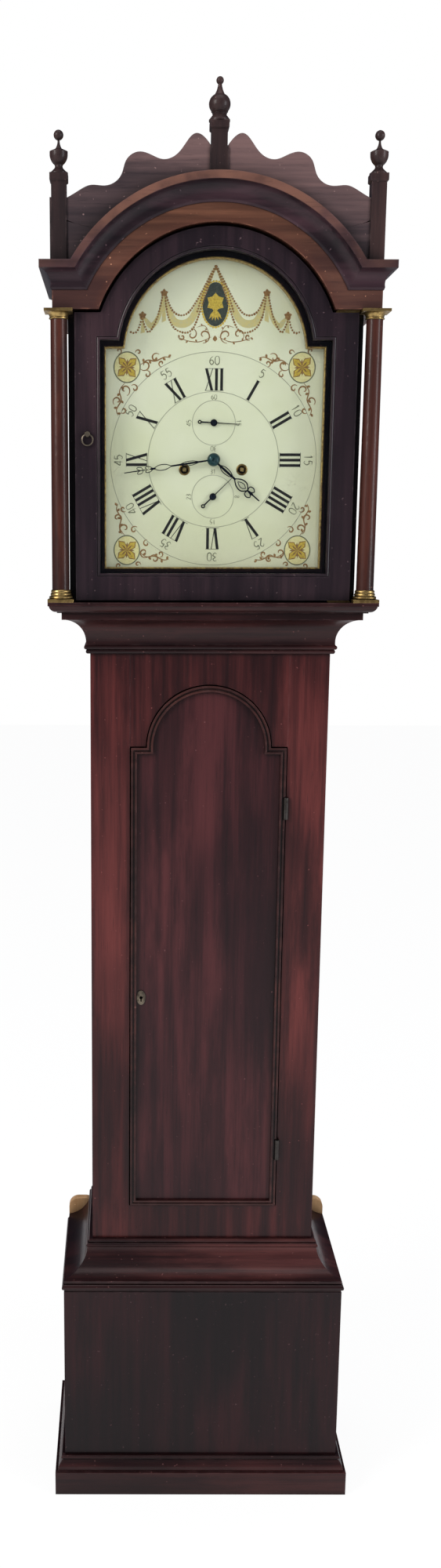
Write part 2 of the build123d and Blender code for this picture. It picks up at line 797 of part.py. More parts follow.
def column_brasses():
    square = column_base_width / 2
    z0 = z_hood_floor
    foot_t = 4.2
    foot = slab(column_x - square, column_x + square, y_column - square, y_column + square, z0, z0 + foot_t)
    neck = column_foot_radius
    z1 = z0 + foot_t
    ring = (column_base_height - foot_t) / 3
    wide = square - 1.5
    half = half_outline(
        Polyline((0, z_shaft), (0, z1), (wide - 1.0, z1)),
        ThreePointArc((wide - 1.0, z1), (wide, z1 + ring / 2), (wide - 1.0, z1 + ring)),
        Line((wide - 1.0, z1 + ring), (wide - 2.6, z1 + ring)),
        ThreePointArc((wide - 2.6, z1 + ring), (wide - 1.8, z1 + 1.5 * ring), (wide - 2.6, z1 + 2 * ring)),
        Line((wide - 2.6, z1 + 2 * ring), (neck + 0.8, z1 + 2 * ring)),
        ThreePointArc((neck + 0.8, z1 + 2 * ring), (neck + 1.6, z1 + 2.5 * ring), (neck + 0.6, z_shaft)),
        Line((neck + 0.6, z_shaft), (0, z_shaft)))
    base = foot + turned(half, column_x, y_column, 0)
    cap_square = column_cap_width / 2
    slab_t = 3.4
    neck = column_neck_radius
    z2 = z_shaft_top
    top = slab(column_x - cap_square, column_x + cap_square, y_column - cap_square, y_column + cap_square,
               z_frieze - slab_t, z_frieze)
    cap_rise = column_cap_height - slab_t
    half = half_outline(
        Polyline((0, z_frieze - slab_t), (0, z2), (neck + 0.6, z2)),
        ThreePointArc((neck + 0.6, z2), (neck + 1.9, z2 + 1.2), (neck + 0.8, z2 + 2.4)),
        Line((neck + 0.8, z2 + 2.4), (neck + 1.2, z2 + 3.4)),
        ThreePointArc((neck + 1.2, z2 + 3.4), (neck + 2.8, z2 + cap_rise - 2.0), (cap_square - 1.5, z2 + cap_rise)),
        Line((cap_square - 1.5, z2 + cap_rise), (0, z2 + cap_rise)))
    capital = top + turned(half, column_x, y_column, 0)
    return group(base, mirrored(base), capital, mirrored(capital))


# Hood door and its hinges

hood_door_half = hood_door_width / 2
pivot_x = hood_door_half - hood_hinge_inset
pivot_y = y_hood_door + hood_hinge_inset


def upright_pin(radius, z0, z1):
    return Pos(pivot_x, pivot_y, (z0 + z1) / 2) * Cylinder(radius, z1 - z0)


def hood_hinge_plates():
    # Brass plates on the hood, each with the pin that the door turns on
    x1 = pivot_x + 4.0
    x0 = x1 - strap_length
    y0 = pivot_y - 2.5
    y1 = y0 + strap_width
    low = slab(x0, x1, y0, y1, z_hood_floor, z_hood_floor + hinge_plate_t)
    low += upright_pin(hood_pin_radius, z_hood_floor, z_hood_door + hood_pin_depth)
    high = slab(x0, x1, y0, y1, z_frieze - top_plate_t, z_frieze)
    high += upright_pin(hood_pin_radius, z_hood_shoulder - hood_pin_depth, z_frieze)
    return group(low, high)


def hood_door_straps():
    x1 = hood_door_half - 0.3
    x0 = x1 - strap_length
    y0 = y_hood_door + 0.3
    y1 = y0 + strap_width
    bore = upright_pin(hood_pin_radius + hinge_pin_fit, 0, tall)
    low = slab(x0, x1, y0, y1, z_hood_door - strap_t, z_hood_door) - bore
    high = slab(x0, x1, y0, y1, z_hood_shoulder, z_hood_shoulder + strap_t) - bore
    return group(low, high)


def hood_door_frame():
    half = hood_door_half
    outline = rectangle(-half, half, z_hood_door, z_hood_shoulder)
    outline += disc(frieze_arch - hood_door_arch_gap, 0, z_arch) & above(z_hood_shoulder)
    frame = board(outline - sight(door_sight), y_hood_door, hood_door_t)
    y_rear = y_hood_door + hood_door_t
    frame -= board(sight(door_sight + glass_bed), y_rear - rebate_depth, rebate_depth)
    # The sight edge has a small step and a slope, as a worked moulding has
    frame -= board(sight(door_sight + ovolo), y_hood_door, 1.2)
    frame -= board(sight(door_sight + 2.0), y_hood_door, 3.2)
    bore = hood_pin_radius + hinge_pin_fit
    depth = hood_pin_depth + 0.5
    frame -= upright_pin(bore, z_hood_door, z_hood_door + depth)
    frame -= upright_pin(bore, z_hood_shoulder - depth, z_hood_shoulder)
    return group(frame)


def hood_door_glass():
    y0 = y_hood_door + hood_door_t - rebate_depth
    return group(board(sight(door_sight + glass_bed - 0.5), y0, glass_t))


ring_x = -hood_door_half + (hood_door_half - dial_width / 2 + mask_lap - door_sight) / 2
z_ring = z_hood_door + ring_height
ring_y = y_hood_door - ring_stand


def ring_stud():
    # A turned stud: foot disc, post with the hole that the ring hangs in, and a flat head
    head_y = ring_y - ring_wire - ring_play - 0.9
    foot = rod(3.8, ring_x, z_ring, y_hood_door - 0.8, y_hood_door)
    post = rod(2.7, ring_x, z_ring, head_y, y_hood_door - 0.8)
    head = rod(3.3, ring_x, z_ring, head_y - 1.1, head_y)
    tunnel = Pos(ring_x, ring_y, z_ring) * Rot(0, 90, 0) * Cylinder(ring_wire + ring_play, 20)
    return group(foot + post + head - tunnel)


def ring_pull():
    ring = Pos(ring_x, ring_y, z_ring - ring_radius) * Rot(90, 0, 0) * Torus(ring_radius, ring_wire)
    return group(ring)


# Dial and hands

def dial_outline():
    half = dial_width / 2
    return break_arch(half, z_dial - half, z_dial + half, dial_arch, z_sight_arch)


def dial_plate():
    face = dial_outline() - disc(dial_hole, 0, z_dial)
    for side in (-1, 1):
        face -= disc(winding_hole, side * winding_spread, z_dial - winding_drop)
    face -= disc(pivot_radius + 0.3, 0, z_dial + subdial_offset)
    face -= disc(pivot_radius + pivot_fit, 0, z_dial - subdial_offset)
    return group(board(face, y_dial, dial_t))


def dial_feet():
    half = plate_width / 2 - 4.0
    y0 = y_dial + dial_t
    feet = []
    for x, z in ((-half, z_dial + 60), (half, z_dial + 60), (-half, z_dial - 52), (half, z_dial - 52)):
        feet.append(rod(foot_radius, x, z, y0, y_plate))
    return group(*feet)


def clockwise(shape, degrees, z):
    # Turns a piece drawn upright about a front to back axis through the given height
    return Pos(0, 0, z) * (Rot(0, degrees, 0) * (Pos(0, 0, -z) * shape))


def pierced_hand(length, boss, loop_share, loop_half, z, y_front):
    # A flat blued steel hand with an open lozenge near its point
    z_tip = z + length
    z_loop = z + loop_share * length
    reach = 0.12 * length
    outer = polygon([(0, z_loop - reach), (loop_half, z_loop - reach * 0.35), (loop_half * 0.55, z_loop + reach * 0.3),
                     (loop_half * 1.2, z_loop + reach * 0.75), (0, z_loop + 1.35 * reach),
                     (-loop_half * 1.2, z_loop + reach * 0.75), (-loop_half * 0.55, z_loop + reach * 0.3),
                     (-loop_half, z_loop - reach * 0.35)])
    hole = polygon([(0, z_loop - reach * 0.72), (loop_half * 0.62, z_loop - reach * 0.32),
                    (0, z_loop + reach * 0.1), (-loop_half * 0.62, z_loop - reach * 0.32)])
    root_width = boss * 0.28
    shaft = polygon([(-root_width, z), (root_width, z), (0.8, z_loop), (0.45, z_tip), (-0.45, z_tip), (-0.8, z_loop)])
    face = disc(boss, 0, z) + (outer - hole) + shaft
    return board(face, y_front, hand_t)


def ring_hand(length, boss, tail, ring, z, y_front):
    # A plain pointer with a small ring at its tail
    shaft = polygon([(-0.9, z - tail), (0.9, z - tail), (0.35, z + length), (-0.35, z + length)])
    z_loop = z - tail - ring * 0.8
    loop = disc(ring, 0, z_loop) - disc(ring * 0.5, 0, z_loop)
    shaft -= disc(ring * 0.5, 0, z_loop)
    return board(disc(boss, 0, z) + shaft + loop, y_front, hand_t)


y_hour = y_dial - 6.0
y_minute = y_hour - 3.4
y_small = y_dial - 3.2
cannon_radius = 2.4
pipe_bore = cannon_radius + pivot_fit
pipe_radius = 4.2


def minute_hand():
    flat = pierced_hand(minute_hand_length, 6.5, 0.7, 4.6, z_dial, y_minute)
    dome = Pos(0, y_minute, z_dial) * Sphere(7.6)
    dome &= slab(-far, far, y_minute - 4.2, y_minute, 0, tall)
    whole = clockwise(flat + dome, minute_hand_turn, z_dial)
    return group(whole - rod(cannon_radius, 0, z_dial, y_minute, y_minute + far))


def hour_hand():
    flat = pierced_hand(hour_hand_length, 8.6, 0.66, 7.5, z_dial, y_hour)
    return group(clockwise(flat, hour_hand_turn, z_dial) - rod(pipe_radius, 0, z_dial, y_hour - far, y_hour + far))


def seconds_hand():
    z = z_dial + subdial_offset
    flat = ring_hand(seconds_hand_length, 4.6, 17.0, 2.6, z, y_small)
    boss = rod(3.0, 0, z, y_small - 1.0, y_small)
    return group(clockwise(flat + boss, seconds_hand_turn, z) - rod(pivot_radius, 0, z, y_small, y_small + far))


def date_hand():
    z = z_dial - subdial_offset
    flat = ring_hand(date_hand_length, 4.6, 16.0, 2.8, z, y_small)
    boss = rod(3.0, 0, z, y_small - 1.0, y_small)
    arbor = rod(pivot_radius, 0, z, y_small, y_dial + dial_t + 3.0)
    collar = rod(4.0, 0, z, y_dial + dial_t + 0.3, y_dial + dial_t + 2.0)
    return group(clockwise(flat + boss, date_hand_turn, z) + arbor + collar)


# Movement

def tooth_ring(teeth, module, x, z, lead):
    # Teeth stand well apart, so that wheel and pinion leave a clear backlash
    pitch = module * teeth / 2
    tip = pitch + 0.8 * module
    root = pitch - 1.45 * module
    step = 2 * math.pi / teeth
    points = []
    for index in range(teeth):
        middle = math.radians(lead) + index * step
        for radius, share in ((root, -0.2), (tip, -0.1), (tip, 0.1), (root, 0.2)):
            angle = middle + share * step
            points.append((x + radius * math.cos(angle), z + radius * math.sin(angle)))
    return polygon(points)


def crossed(face, rim, x, z):
    # Cuts a wheel out to a rim, a hub and four arms
    hollow = disc(rim, x, z) - disc(6.0, x, z)
    arms = rectangle(x - rim, x + rim, z - 1.6, z + 1.6) + rectangle(x - 1.6, x + 1.6, z - rim, z + rim)
    return face - (hollow - arms)


def bearing(x0, z0, x1, z1):
    return math.degrees(math.atan2(z1 - z0, x1 - x0))


def meet(first, second, first_radius, second_radius, right):
    # The point that lies at the two given distances from two arbors
    dx = second[0] - first[0]
    dz = second[1] - first[1]
    span = math.hypot(dx, dz)
    along = (first_radius ** 2 - second_radius ** 2 + span ** 2) / (2 * span)
    across = math.sqrt(first_radius ** 2 - along ** 2)
    side = 1 if right else -1
    return (first[0] + along * dx / span + side * across * dz / span,
            first[1] + along * dz / span - side * across * dx / span)


centre = (0.0, z_dial)
going = (winding_spread, z_dial - winding_drop)
strike = (-winding_spread, z_dial - winding_drop)
escape = (0.0, z_dial + subdial_offset)
pallet = (0.0, z_dial + pallet_height)
great_module = 2 * math.dist(centre, going) / (great_teeth + centre_pinion_leaves)
centre_to_third = centre_module * (centre_teeth + third_pinion_leaves) / 2
third_to_escape = third_module * (third_teeth + escape_pinion_leaves) / 2
third = meet(centre, escape, centre_to_third, third_to_escape, True)
motion_reach = cannon_module * cannon_teeth
motion = (motion_reach * math.cos(math.radians(motion_angle)),
          z_dial + motion_reach * math.sin(math.radians(motion_angle)))
hour_module = 2 * motion_reach / (hour_teeth + minute_pinion_leaves)
hammer = (-30.0, z_dial + 60.0)

y_great = y_inner + 3.0
y_barrel = y_great + wheel_t + 1.0
y_centre_wheel = y_back_plate - 7.0
y_escape_wheel = y_back_plate - 6.5
y_third_wheel = y_back_plate - 12.0
y_line = y_barrel + barrel_length / 2
y_cannon = y_plate - 8.0
y_hour_wheel = y_plate - 14.0
y_pendulum = y_behind + pendulum_set_back


def meshing(first, second, first_teeth, second_teeth):
    # Angles at which two wheels start so that a tooth of one stands in a gap of the other
    lead = bearing(*first, *second)
    return lead, lead + 180 + 180 / second_teeth


def arbor(place, y0, y1, radius=arbor_radius):
    # The bar between the plates, with thinner pivots that run in both plates
    bar = rod(radius, place[0], place[1], y_inner + 0.3, y_back_plate - 0.3)
    return bar + rod(pivot_radius, place[0], place[1], y0, y1)


def pivot_hole(place):
    return rod(pivot_radius + pivot_fit, place[0], place[1], y_plate - 1, y_behind + 1)


arbor_places = (centre, going, strike, third, escape, pallet, hammer)


def plate_blank(y0):
    plate = slab(-plate_width / 2, plate_width / 2, y0, y0 + plate_t, z_dial - plate_below, z_dial + plate_above)
    for place in arbor_places:
        plate -= pivot_hole(place)
    return plate


def pillar_places():
    x = plate_width / 2 - pillar_inset
    return ((-x, z_dial - plate_below + pillar_inset), (x, z_dial - plate_below + pillar_inset),
            (-x, z_dial + plate_above - pillar_inset), (x, z_dial + plate_above - pillar_inset))


def front_plate():
    plate = plate_blank(y_plate)
    for side in (going, strike):
        plate -= rod(barrel_neck + pivot_fit, side[0], side[1], y_plate - 1, y_plate + plate_t + 1)
    plate -= rod(cannon_radius + pivot_fit, 0, z_dial, y_plate - 1, y_plate + plate_t + 1)
    stud = rod(motion_stud_radius, motion[0], motion[1], y_hour_wheel - 3.0, y_plate)
    return group(plate + stud)


def back_plate():
    plate = plate_blank(y_back_plate)
    # The crutch arbor passes through a wide slot
    plate -= rod(6.0, pallet[0], pallet[1], y_back_plate - 1, y_behind + 1)
    for x, z in pillar_places():
        plate += rod(pillar_radius, x, z, y_inner, y_back_plate)
    # The cock behind the plate carries the arbor's rear pivot and the pendulum's spring
    reach = y_pendulum + 4.0
    foot = slab(-22, 22, y_behind, y_behind + 4.0, pallet[1] + 8.0, pallet[1] + 15.0)
    arm_outer = slab(-22, -17, y_behind, y_behind + 8.0, pallet[1] - 6.0, pallet[1] + 15.0)
    bridge = slab(-22, 22, y_behind + 8.0, y_behind + 11.0, pallet[1] - 6.0, pallet[1] + 15.0)
    bridge -= rod(pivot_radius + pivot_fit, pallet[0], pallet[1], y_behind, y_behind + 20.0)
    stud = slab(-4, 4, y_behind + 11.0, reach, pallet[1] + 7.0, pallet[1] + 13.0)
    cock = foot + arm_outer + mirrored(arm_outer) + bridge + stud
    return group(plate, cock)


def bell():
    z0 = z_dial + plate_above + bell_lift
    dome = Pos(0, y_line, z0) * Sphere(bell_radius)
    dome -= Pos(0, y_line, z0) * Sphere(bell_radius - bell_wall)
    dome &= slab(-far, far, -far, far, z0, tall)
    z_top = z0 + bell_radius
    post = Pos(0, y_line, (z0 - 6.0 + z_top + 5.0) / 2) * Cylinder(2.5, z_top + 5.0 - (z0 - 6.0))
    dome -= Pos(0, y_line, z_top) * Cylinder(2.5, 20)
    nut = Pos(0, y_line, z_top + 2.0) * Cylinder(5.0, 4.0)
    arm = slab(-4, 4, y_line - 4.0, y_back_plate, z0 - 10.0, z0 - 6.0)
    leg = slab(-4, 4, y_back_plate - 3.0, y_back_plate, z_dial + plate_above - 9.0, z0 - 10.0)
    stand = post + arm + leg + (nut - dome)
    return group(dome, stand)


def centre_arbor():
    to_great, _ = meshing(centre, going, centre_pinion_leaves, great_teeth)
    to_third, _ = meshing(centre, third, centre_teeth, third_pinion_leaves)
    to_motion, _ = meshing(centre, motion, cannon_teeth, cannon_teeth)
    bar = rod(arbor_radius - 0.4, 0, z_dial, y_inner + 0.3, y_back_plate - 0.3)
    bar += rod(pivot_radius, 0, z_dial, y_plate - 2, y_behind)
    bar += rod(cannon_radius, 0, z_dial, y_minute, y_inner + 0.3)
    pinion = board(tooth_ring(centre_pinion_leaves, great_module, *centre, to_great), y_great - 1.5, wheel_t + 3.0)
    face = tooth_ring(centre_teeth, centre_module, *centre, to_third)
    face = crossed(face, centre_module * centre_teeth / 2 - 4.5, *centre)
    wheel = board(face, y_centre_wheel, wheel_t)
    cannon = board(tooth_ring(cannon_teeth, cannon_module, *centre, to_motion), y_cannon, wheel_t)
    return group(bar + pinion + wheel + cannon)


def hour_wheel():
    _, lead = meshing(motion, centre, minute_pinion_leaves, hour_teeth)
    face = tooth_ring(hour_teeth, hour_module, *centre, lead)
    wheel = board(face, y_hour_wheel, wheel_t) + rod(pipe_radius, 0, z_dial, y_hour, y_hour_wheel)
    return group(wheel - rod(pipe_bore, 0, z_dial, y_hour - 5, y_plate))


def minute_wheel():
    _, lead = meshing(centre, motion, cannon_teeth, cannon_teeth)
    to_hour, _ = meshing(motion, centre, minute_pinion_leaves, hour_teeth)
    wheel = board(tooth_ring(cannon_teeth, cannon_module, *motion, lead), y_cannon, wheel_t)
    leaves = tooth_ring(minute_pinion_leaves, hour_module, *motion, to_hour)
    wheel += board(leaves, y_hour_wheel - 1.0, y_cannon - y_hour_wheel + 1.0)
    return group(wheel - rod(motion_stud_radius + pivot_fit, motion[0], motion[1], y_hour_wheel - 5, y_plate))


def great_wheel():
    _, lead = meshing(centre, going, centre_pinion_leaves, great_teeth)
    wheel = board(tooth_ring(great_teeth, great_module, *going, lead), y_great, wheel_t)
    return group(wheel - rod(5.0 + pivot_fit, going[0], going[1], y_inner, y_back_plate))


def barrel(place, wheel_teeth):
    # Drum and flanges on the winding arbor, whose squared end reaches the dial
    x, z = place
    rim = barrel_radius + barrel_flange
    drum = rod(barrel_radius, x, z, y_barrel, y_barrel + barrel_length)
    drum += rod(rim, x, z, y_barrel, y_barrel + 2.0)
    drum += rod(rim, x, z, y_barrel + barrel_length - 2.0, y_barrel + barrel_length)
    drum += rod(5.0, x, z, y_inner + 0.5, y_barrel)
    drum += rod(5.0, x, z, y_barrel + barrel_length, y_back_plate - 0.5)
    drum += rod(pivot_radius, x, z, y_back_plate - 0.5, y_behind)
    drum += rod(barrel_neck, x, z, y_plate - 1.0, y_inner + 0.5)
    half = square_size / 2
    drum += slab(x - half, x + half, y_dial - square_reach, y_plate - 1.0, z - half, z + half)
    if wheel_teeth:
        face = tooth_ring(wheel_teeth, strike_module, x, z, 0.0)
        drum += board(face, y_great, wheel_t)
    return group(drum)


def third_wheel():
    _, lead = meshing(centre, third, centre_teeth, third_pinion_leaves)
    to_escape, _ = meshing(third, escape, third_teeth, escape_pinion_leaves)
    face = tooth_ring(third_teeth, third_module, *third, to_escape)
    face = crossed(face, third_module * third_teeth / 2 - 4.0, *third)
    pinion = board(tooth_ring(third_pinion_leaves, centre_module, *third, lead), y_centre_wheel - 2.0, wheel_t + 4.0)
    return group(arbor(third, y_plate, y_behind, 1.9) + board(face, y_third_wheel, wheel_t) + pinion)


def escape_wheel():
    _, lead = meshing(third, escape, third_teeth, escape_pinion_leaves)
    step = 360.0 / escape_teeth
    points = []
    for index in range(escape_teeth):
        for radius, share in ((escape_radius, 0.0), (escape_radius - 3.2, 0.35), (escape_radius - 3.2, 0.75)):
            angle = math.radians((index + share) * step)
            points.append((escape[0] + radius * math.cos(angle), escape[1] + radius * math.sin(angle)))
    face = crossed(polygon(points), escape_radius - 5.5, *escape)
    pinion = board(tooth_ring(escape_pinion_leaves, third_module, *escape, lead), y_third_wheel - 2.0, wheel_t + 4.0)
    bar = arbor(escape, y_small, y_behind, 1.7)
    return group(bar + board(face, y_escape_wheel, wheel_t) + pinion)


def pallets():
    # The anchor above the escape wheel, on one arbor with the crutch
    nib = escape_radius + pallet_clear
    spread = nib * math.sin(math.radians(45))
    nib_z = escape[1] + nib * math.cos(math.radians(45))
    top = pallet[1]
    half = polygon([(0, top + 5), (8, top + 3), (spread + 5.5, nib_z + 7), (spread + 4.0, nib_z + 0.5),
                    (spread, nib_z), (spread + 0.5, nib_z + 4), (7, top - 5), (0, top - 6)])
    anchor = board(half + mirror(half, about=Plane.YZ), y_escape_wheel - 0.5, wheel_t + 1.0)
    bar = arbor(pallet, y_plate, y_behind + 11.0, 2.0)
    bar += rod(2.6, pallet[0], pallet[1], y_back_plate - 0.3, y_behind + 7.0)
    y_rod = y_behind + 4.0
    rod_piece = slab(-1.2, 1.2, y_rod - 1.2, y_rod + 1.2, top - crutch_length, top)
    reach = slab(-1.2, 1.2, y_rod - 1.2, y_pendulum - 6.0, top - crutch_length - 2.4, top - crutch_length)
    gap = pendulum_rod_radius + 0.6
    fork = slab(-gap - 2, gap + 2, y_pendulum - 6.0, y_pendulum + 5.0, top - crutch_length - 2.4, top - crutch_length)
    fork -= slab(-gap, gap, y_pendulum - 4.0, y_pendulum + 6.0, top - crutch_length - 5, top - crutch_length + 5)
    return group(anchor + bar + rod_piece + reach + fork)


def hammer_piece():
    z_rim = z_dial + plate_above + bell_lift
    head_x = -bell_radius - 2.5
    bar = arbor(hammer, y_plate, y_behind, 2.0)
    tail = polygon([(hammer[0] - 1.4, hammer[1]), (hammer[0] + 1.4, hammer[1]),
                    (head_x - 5.0 + 1.0, z_rim + 6.0), (head_x - 5.0 - 1.0, z_rim + 6.0)])
    stem = board(tail, y_line - 1.2, 2.4)
    head = Pos(head_x - 5.5, y_line, z_rim + 8.0) * Rot(0, 90, 0) * Cylinder(5.0, 11.0)
    return group(bar + stem + head)


# Pendulum

def pendulum_rod():
    top = pallet[1] + 6.6
    z_bob = pallet[1] - pendulum_length
    z_nut = z_bob - bob_radius - 24.0
    spring = slab(-3.5, 3.5, y_pendulum - 0.3, y_pendulum + 0.3, pallet[1] - 22.0, top)
    block = slab(-5, 5, y_pendulum - 3, y_pendulum + 3, pallet[1] - 36.0, pallet[1] - 20.0)
    length = pallet[1] - 34.0 - z_nut
    bar = Pos(0, y_pendulum, z_nut + length / 2) * Cylinder(pendulum_rod_radius, length)
    return group(spring + block + bar)


def pendulum_bob():
    z = pallet[1] - pendulum_length
    edge = 3.0
    half = half_outline(
        Polyline((0, bob_t / 2), (0, -bob_t / 2)),
        ThreePointArc((0, -bob_t / 2), (bob_radius * 0.6, -bob_t / 2 + 3.2), (bob_radius, -edge / 2)),
        Line((bob_radius, -edge / 2), (bob_radius, edge / 2)),
        ThreePointArc((bob_radius, edge / 2), (bob_radius * 0.6, bob_t / 2 - 3.2), (0, bob_t / 2)))
    disc_solid = Pos(0, y_pendulum, z) * Rot(90, 0, 0) * revolve(Plane.XZ * half, Axis.Z)
    hole = Pos(0, y_pendulum, z) * Cylinder(pendulum_rod_radius, 4 * bob_radius)
    nut = Pos(0, y_pendulum, z - bob_radius - 12.0) * Cylinder(9.0, 6.0)
    return group(disc_solid - hole, nut - hole)


# Weights, pulleys and lines


def pulley_level(drop):
    return z_seat - seat_t - drop


def pulley(side, drop):
    z = pulley_level(drop)
    x = side * winding_spread
    rim = fall + 1.5
    groove = fall - line_radius - line_gap
    wheel = rod(groove, x, z, y_line - pulley_t / 2, y_line + pulley_t / 2)
    for end in (-1, 1):
        y_rim = y_line + end * (pulley_t / 2 - 1.0)
        wheel += rod(rim, x, z, y_rim - 1.0, y_rim + 1.0)
    return group(wheel - rod(2.0 + pivot_fit, x, z, y_line - pulley_t, y_line + pulley_t))


def weight(side, drop):
    # An iron cylinder with its stirrup, whose pin carries the pulley
    z = pulley_level(drop)
    x = side * winding_spread
    gap = 0.8
    cheek_t = 2.0
    rim = fall + 1.5
    inner = pulley_t / 2 + gap
    outer = inner + cheek_t
    z_bridge = z - rim - 4.0
    stirrup = None
    for end in (-1, 1):
        y0, y1 = sorted((y_line + end * inner, y_line + end * outer))
        cheek = slab(x - 5, x + 5, y0, y1, z_bridge, z + 5.0)
        stirrup = cheek if stirrup is None else stirrup + cheek
    stirrup += slab(x - 5, x + 5, y_line - outer, y_line + outer, z_bridge - 3.0, z_bridge)
    stirrup += rod(2.0, x, z, y_line - outer, y_line + outer)
    hook_length = weight_neck - 4.0
    stirrup += Pos(x, y_line, z_bridge - 3.0 - hook_length / 2) * Cylinder(2.5, hook_length)
    z_top = z_bridge - 3.0 - hook_length
    half = half_outline(
        Polyline((0, 0), (0, -weight_length), (weight_radius - 2, -weight_length), (weight_radius, -weight_length + 2)),
        Polyline((weight_radius, -weight_length + 2), (weight_radius, -6), (weight_radius - 6, 0), (0, 0)))
    body = turned(half, x, y_line, z_top)
    return group(stirrup, body)


def line(side, drop):
    # Down from the barrel on the inner side, round under the pulley, and up to the seat board
    z = pulley_level(drop)
    x = side * winding_spread
    near = x - side * fall
    distant = x + side * fall
    z_barrel = z_dial - winding_drop
    path = Polyline((near, y_line, z_barrel), (near, y_line, z))
    path += ThreePointArc((near, y_line, z), (x, y_line, z - fall), (distant, y_line, z))
    path += Line((distant, y_line, z), (distant, y_line, z_seat + line_radius))
    wire = Wire(path.edges())
    section = Plane(origin=(near, y_line, z_barrel), z_dir=(0, 0, -1)) * Circle(line_radius)
    knot = Pos(distant, y_line, z_seat + 1.5 * line_radius) * Cylinder(4 * line_radius, 3 * line_radius)
    return group(sweep(section, path=wire) + knot)


makers = {
    "backboard": backboard,
    "base_boards": base_boards,
    "plinth": plinth,
    "base_moulding": base_moulding,
    "trunk_sides": trunk_sides,
    "trunk_front_frame": trunk_front_frame,
    "throat_moulding": throat_moulding,
    "seat_board": seat_board,
    "trunk_hinge_fixed_leaves": lambda: trunk_hinges(True),
    "trunk_hinge_door_leaves": lambda: trunk_hinges(False),
    "trunk_door_panel": trunk_door_panel,
    "trunk_door_moulding": trunk_door_moulding,
    "trunk_door_escutcheon": trunk_escutcheon,
    "trunk_door_lock": trunk_lock,
    "lock_bolt": lock_bolt,
    "hood_base_moulding": hood_base,
    "hood_sides": hood_sides,
    "hood_dial_mask": hood_mask,
    "hood_roof": hood_roof,
    "hood_frieze": hood_frieze,
    "hood_cornice": hood_cornice,
    "finial_blocks": finial_blocks,
    "finials": finials,
    "cresting_boards": cresting,
    "column_shafts": column_shafts,
    "column_brasses": column_brasses,
    "hood_hinge_plates": hood_hinge_plates,
    "hood_door_straps": hood_door_straps,
    "hood_door_frame": hood_door_frame,
    "hood_door_glass": hood_door_glass,
    "ring_pull_stud": ring_stud,
    "ring_pull": ring_pull,
    "dial_plate": dial_plate,
    "dial_feet": dial_feet,
    "minute_hand": minute_hand,
    "hour_hand": hour_hand,
    "seconds_hand": seconds_hand,
    "date_hand": date_hand,
    "front_plate": front_plate,
    "back_plate": back_plate,
    "bell": bell,
    "centre_arbor": centre_arbor,
    "hour_wheel": hour_wheel,
    "minute_wheel": minute_wheel,
    "going_great_wheel": great_wheel,
    "going_barrel": lambda: barrel(going, 0),
    "strike_barrel": lambda: barrel(strike, strike_teeth),
    "third_wheel": third_wheel,
    "escape_wheel": escape_wheel,
    "pallets": pallets,
    "hammer": hammer_piece,
    "pendulum_rod": pendulum_rod,
    "pendulum_bob": pendulum_bob,
    "going_pulley": lambda: pulley(1, going_pulley_drop),
    "strike_pulley": lambda: pulley(-1, strike_pulley_drop),
    "going_weight": lambda: weight(1, going_pulley_drop),
    "strike_weight": lambda: weight(-1, strike_pulley_drop),
    "going_line": lambda: line(1, going_pulley_drop),
    "strike_line": lambda: line(-1, strike_pulley_drop),
}

for name, maker in makers.items():
    shape = maker()
    export_step(shape, f"parts/{name}.step")
    print(name, len(shape.solids()), round(shape.volume))
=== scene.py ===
import math
import bpy
from mathutils import Vector, Matrix


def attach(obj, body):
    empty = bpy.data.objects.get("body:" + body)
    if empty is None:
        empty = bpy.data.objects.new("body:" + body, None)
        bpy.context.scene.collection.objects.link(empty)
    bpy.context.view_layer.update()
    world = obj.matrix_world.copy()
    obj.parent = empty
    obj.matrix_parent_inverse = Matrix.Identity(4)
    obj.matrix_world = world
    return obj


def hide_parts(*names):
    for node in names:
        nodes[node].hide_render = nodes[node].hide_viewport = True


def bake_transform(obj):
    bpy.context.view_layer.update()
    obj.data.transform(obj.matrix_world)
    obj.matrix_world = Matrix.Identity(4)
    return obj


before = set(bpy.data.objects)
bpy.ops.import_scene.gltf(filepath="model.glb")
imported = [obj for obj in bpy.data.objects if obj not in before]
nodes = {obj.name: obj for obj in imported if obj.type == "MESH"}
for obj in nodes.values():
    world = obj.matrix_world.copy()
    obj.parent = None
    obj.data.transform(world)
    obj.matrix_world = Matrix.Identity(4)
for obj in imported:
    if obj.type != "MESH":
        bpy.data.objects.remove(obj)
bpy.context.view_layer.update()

print("stage: frame loaded")


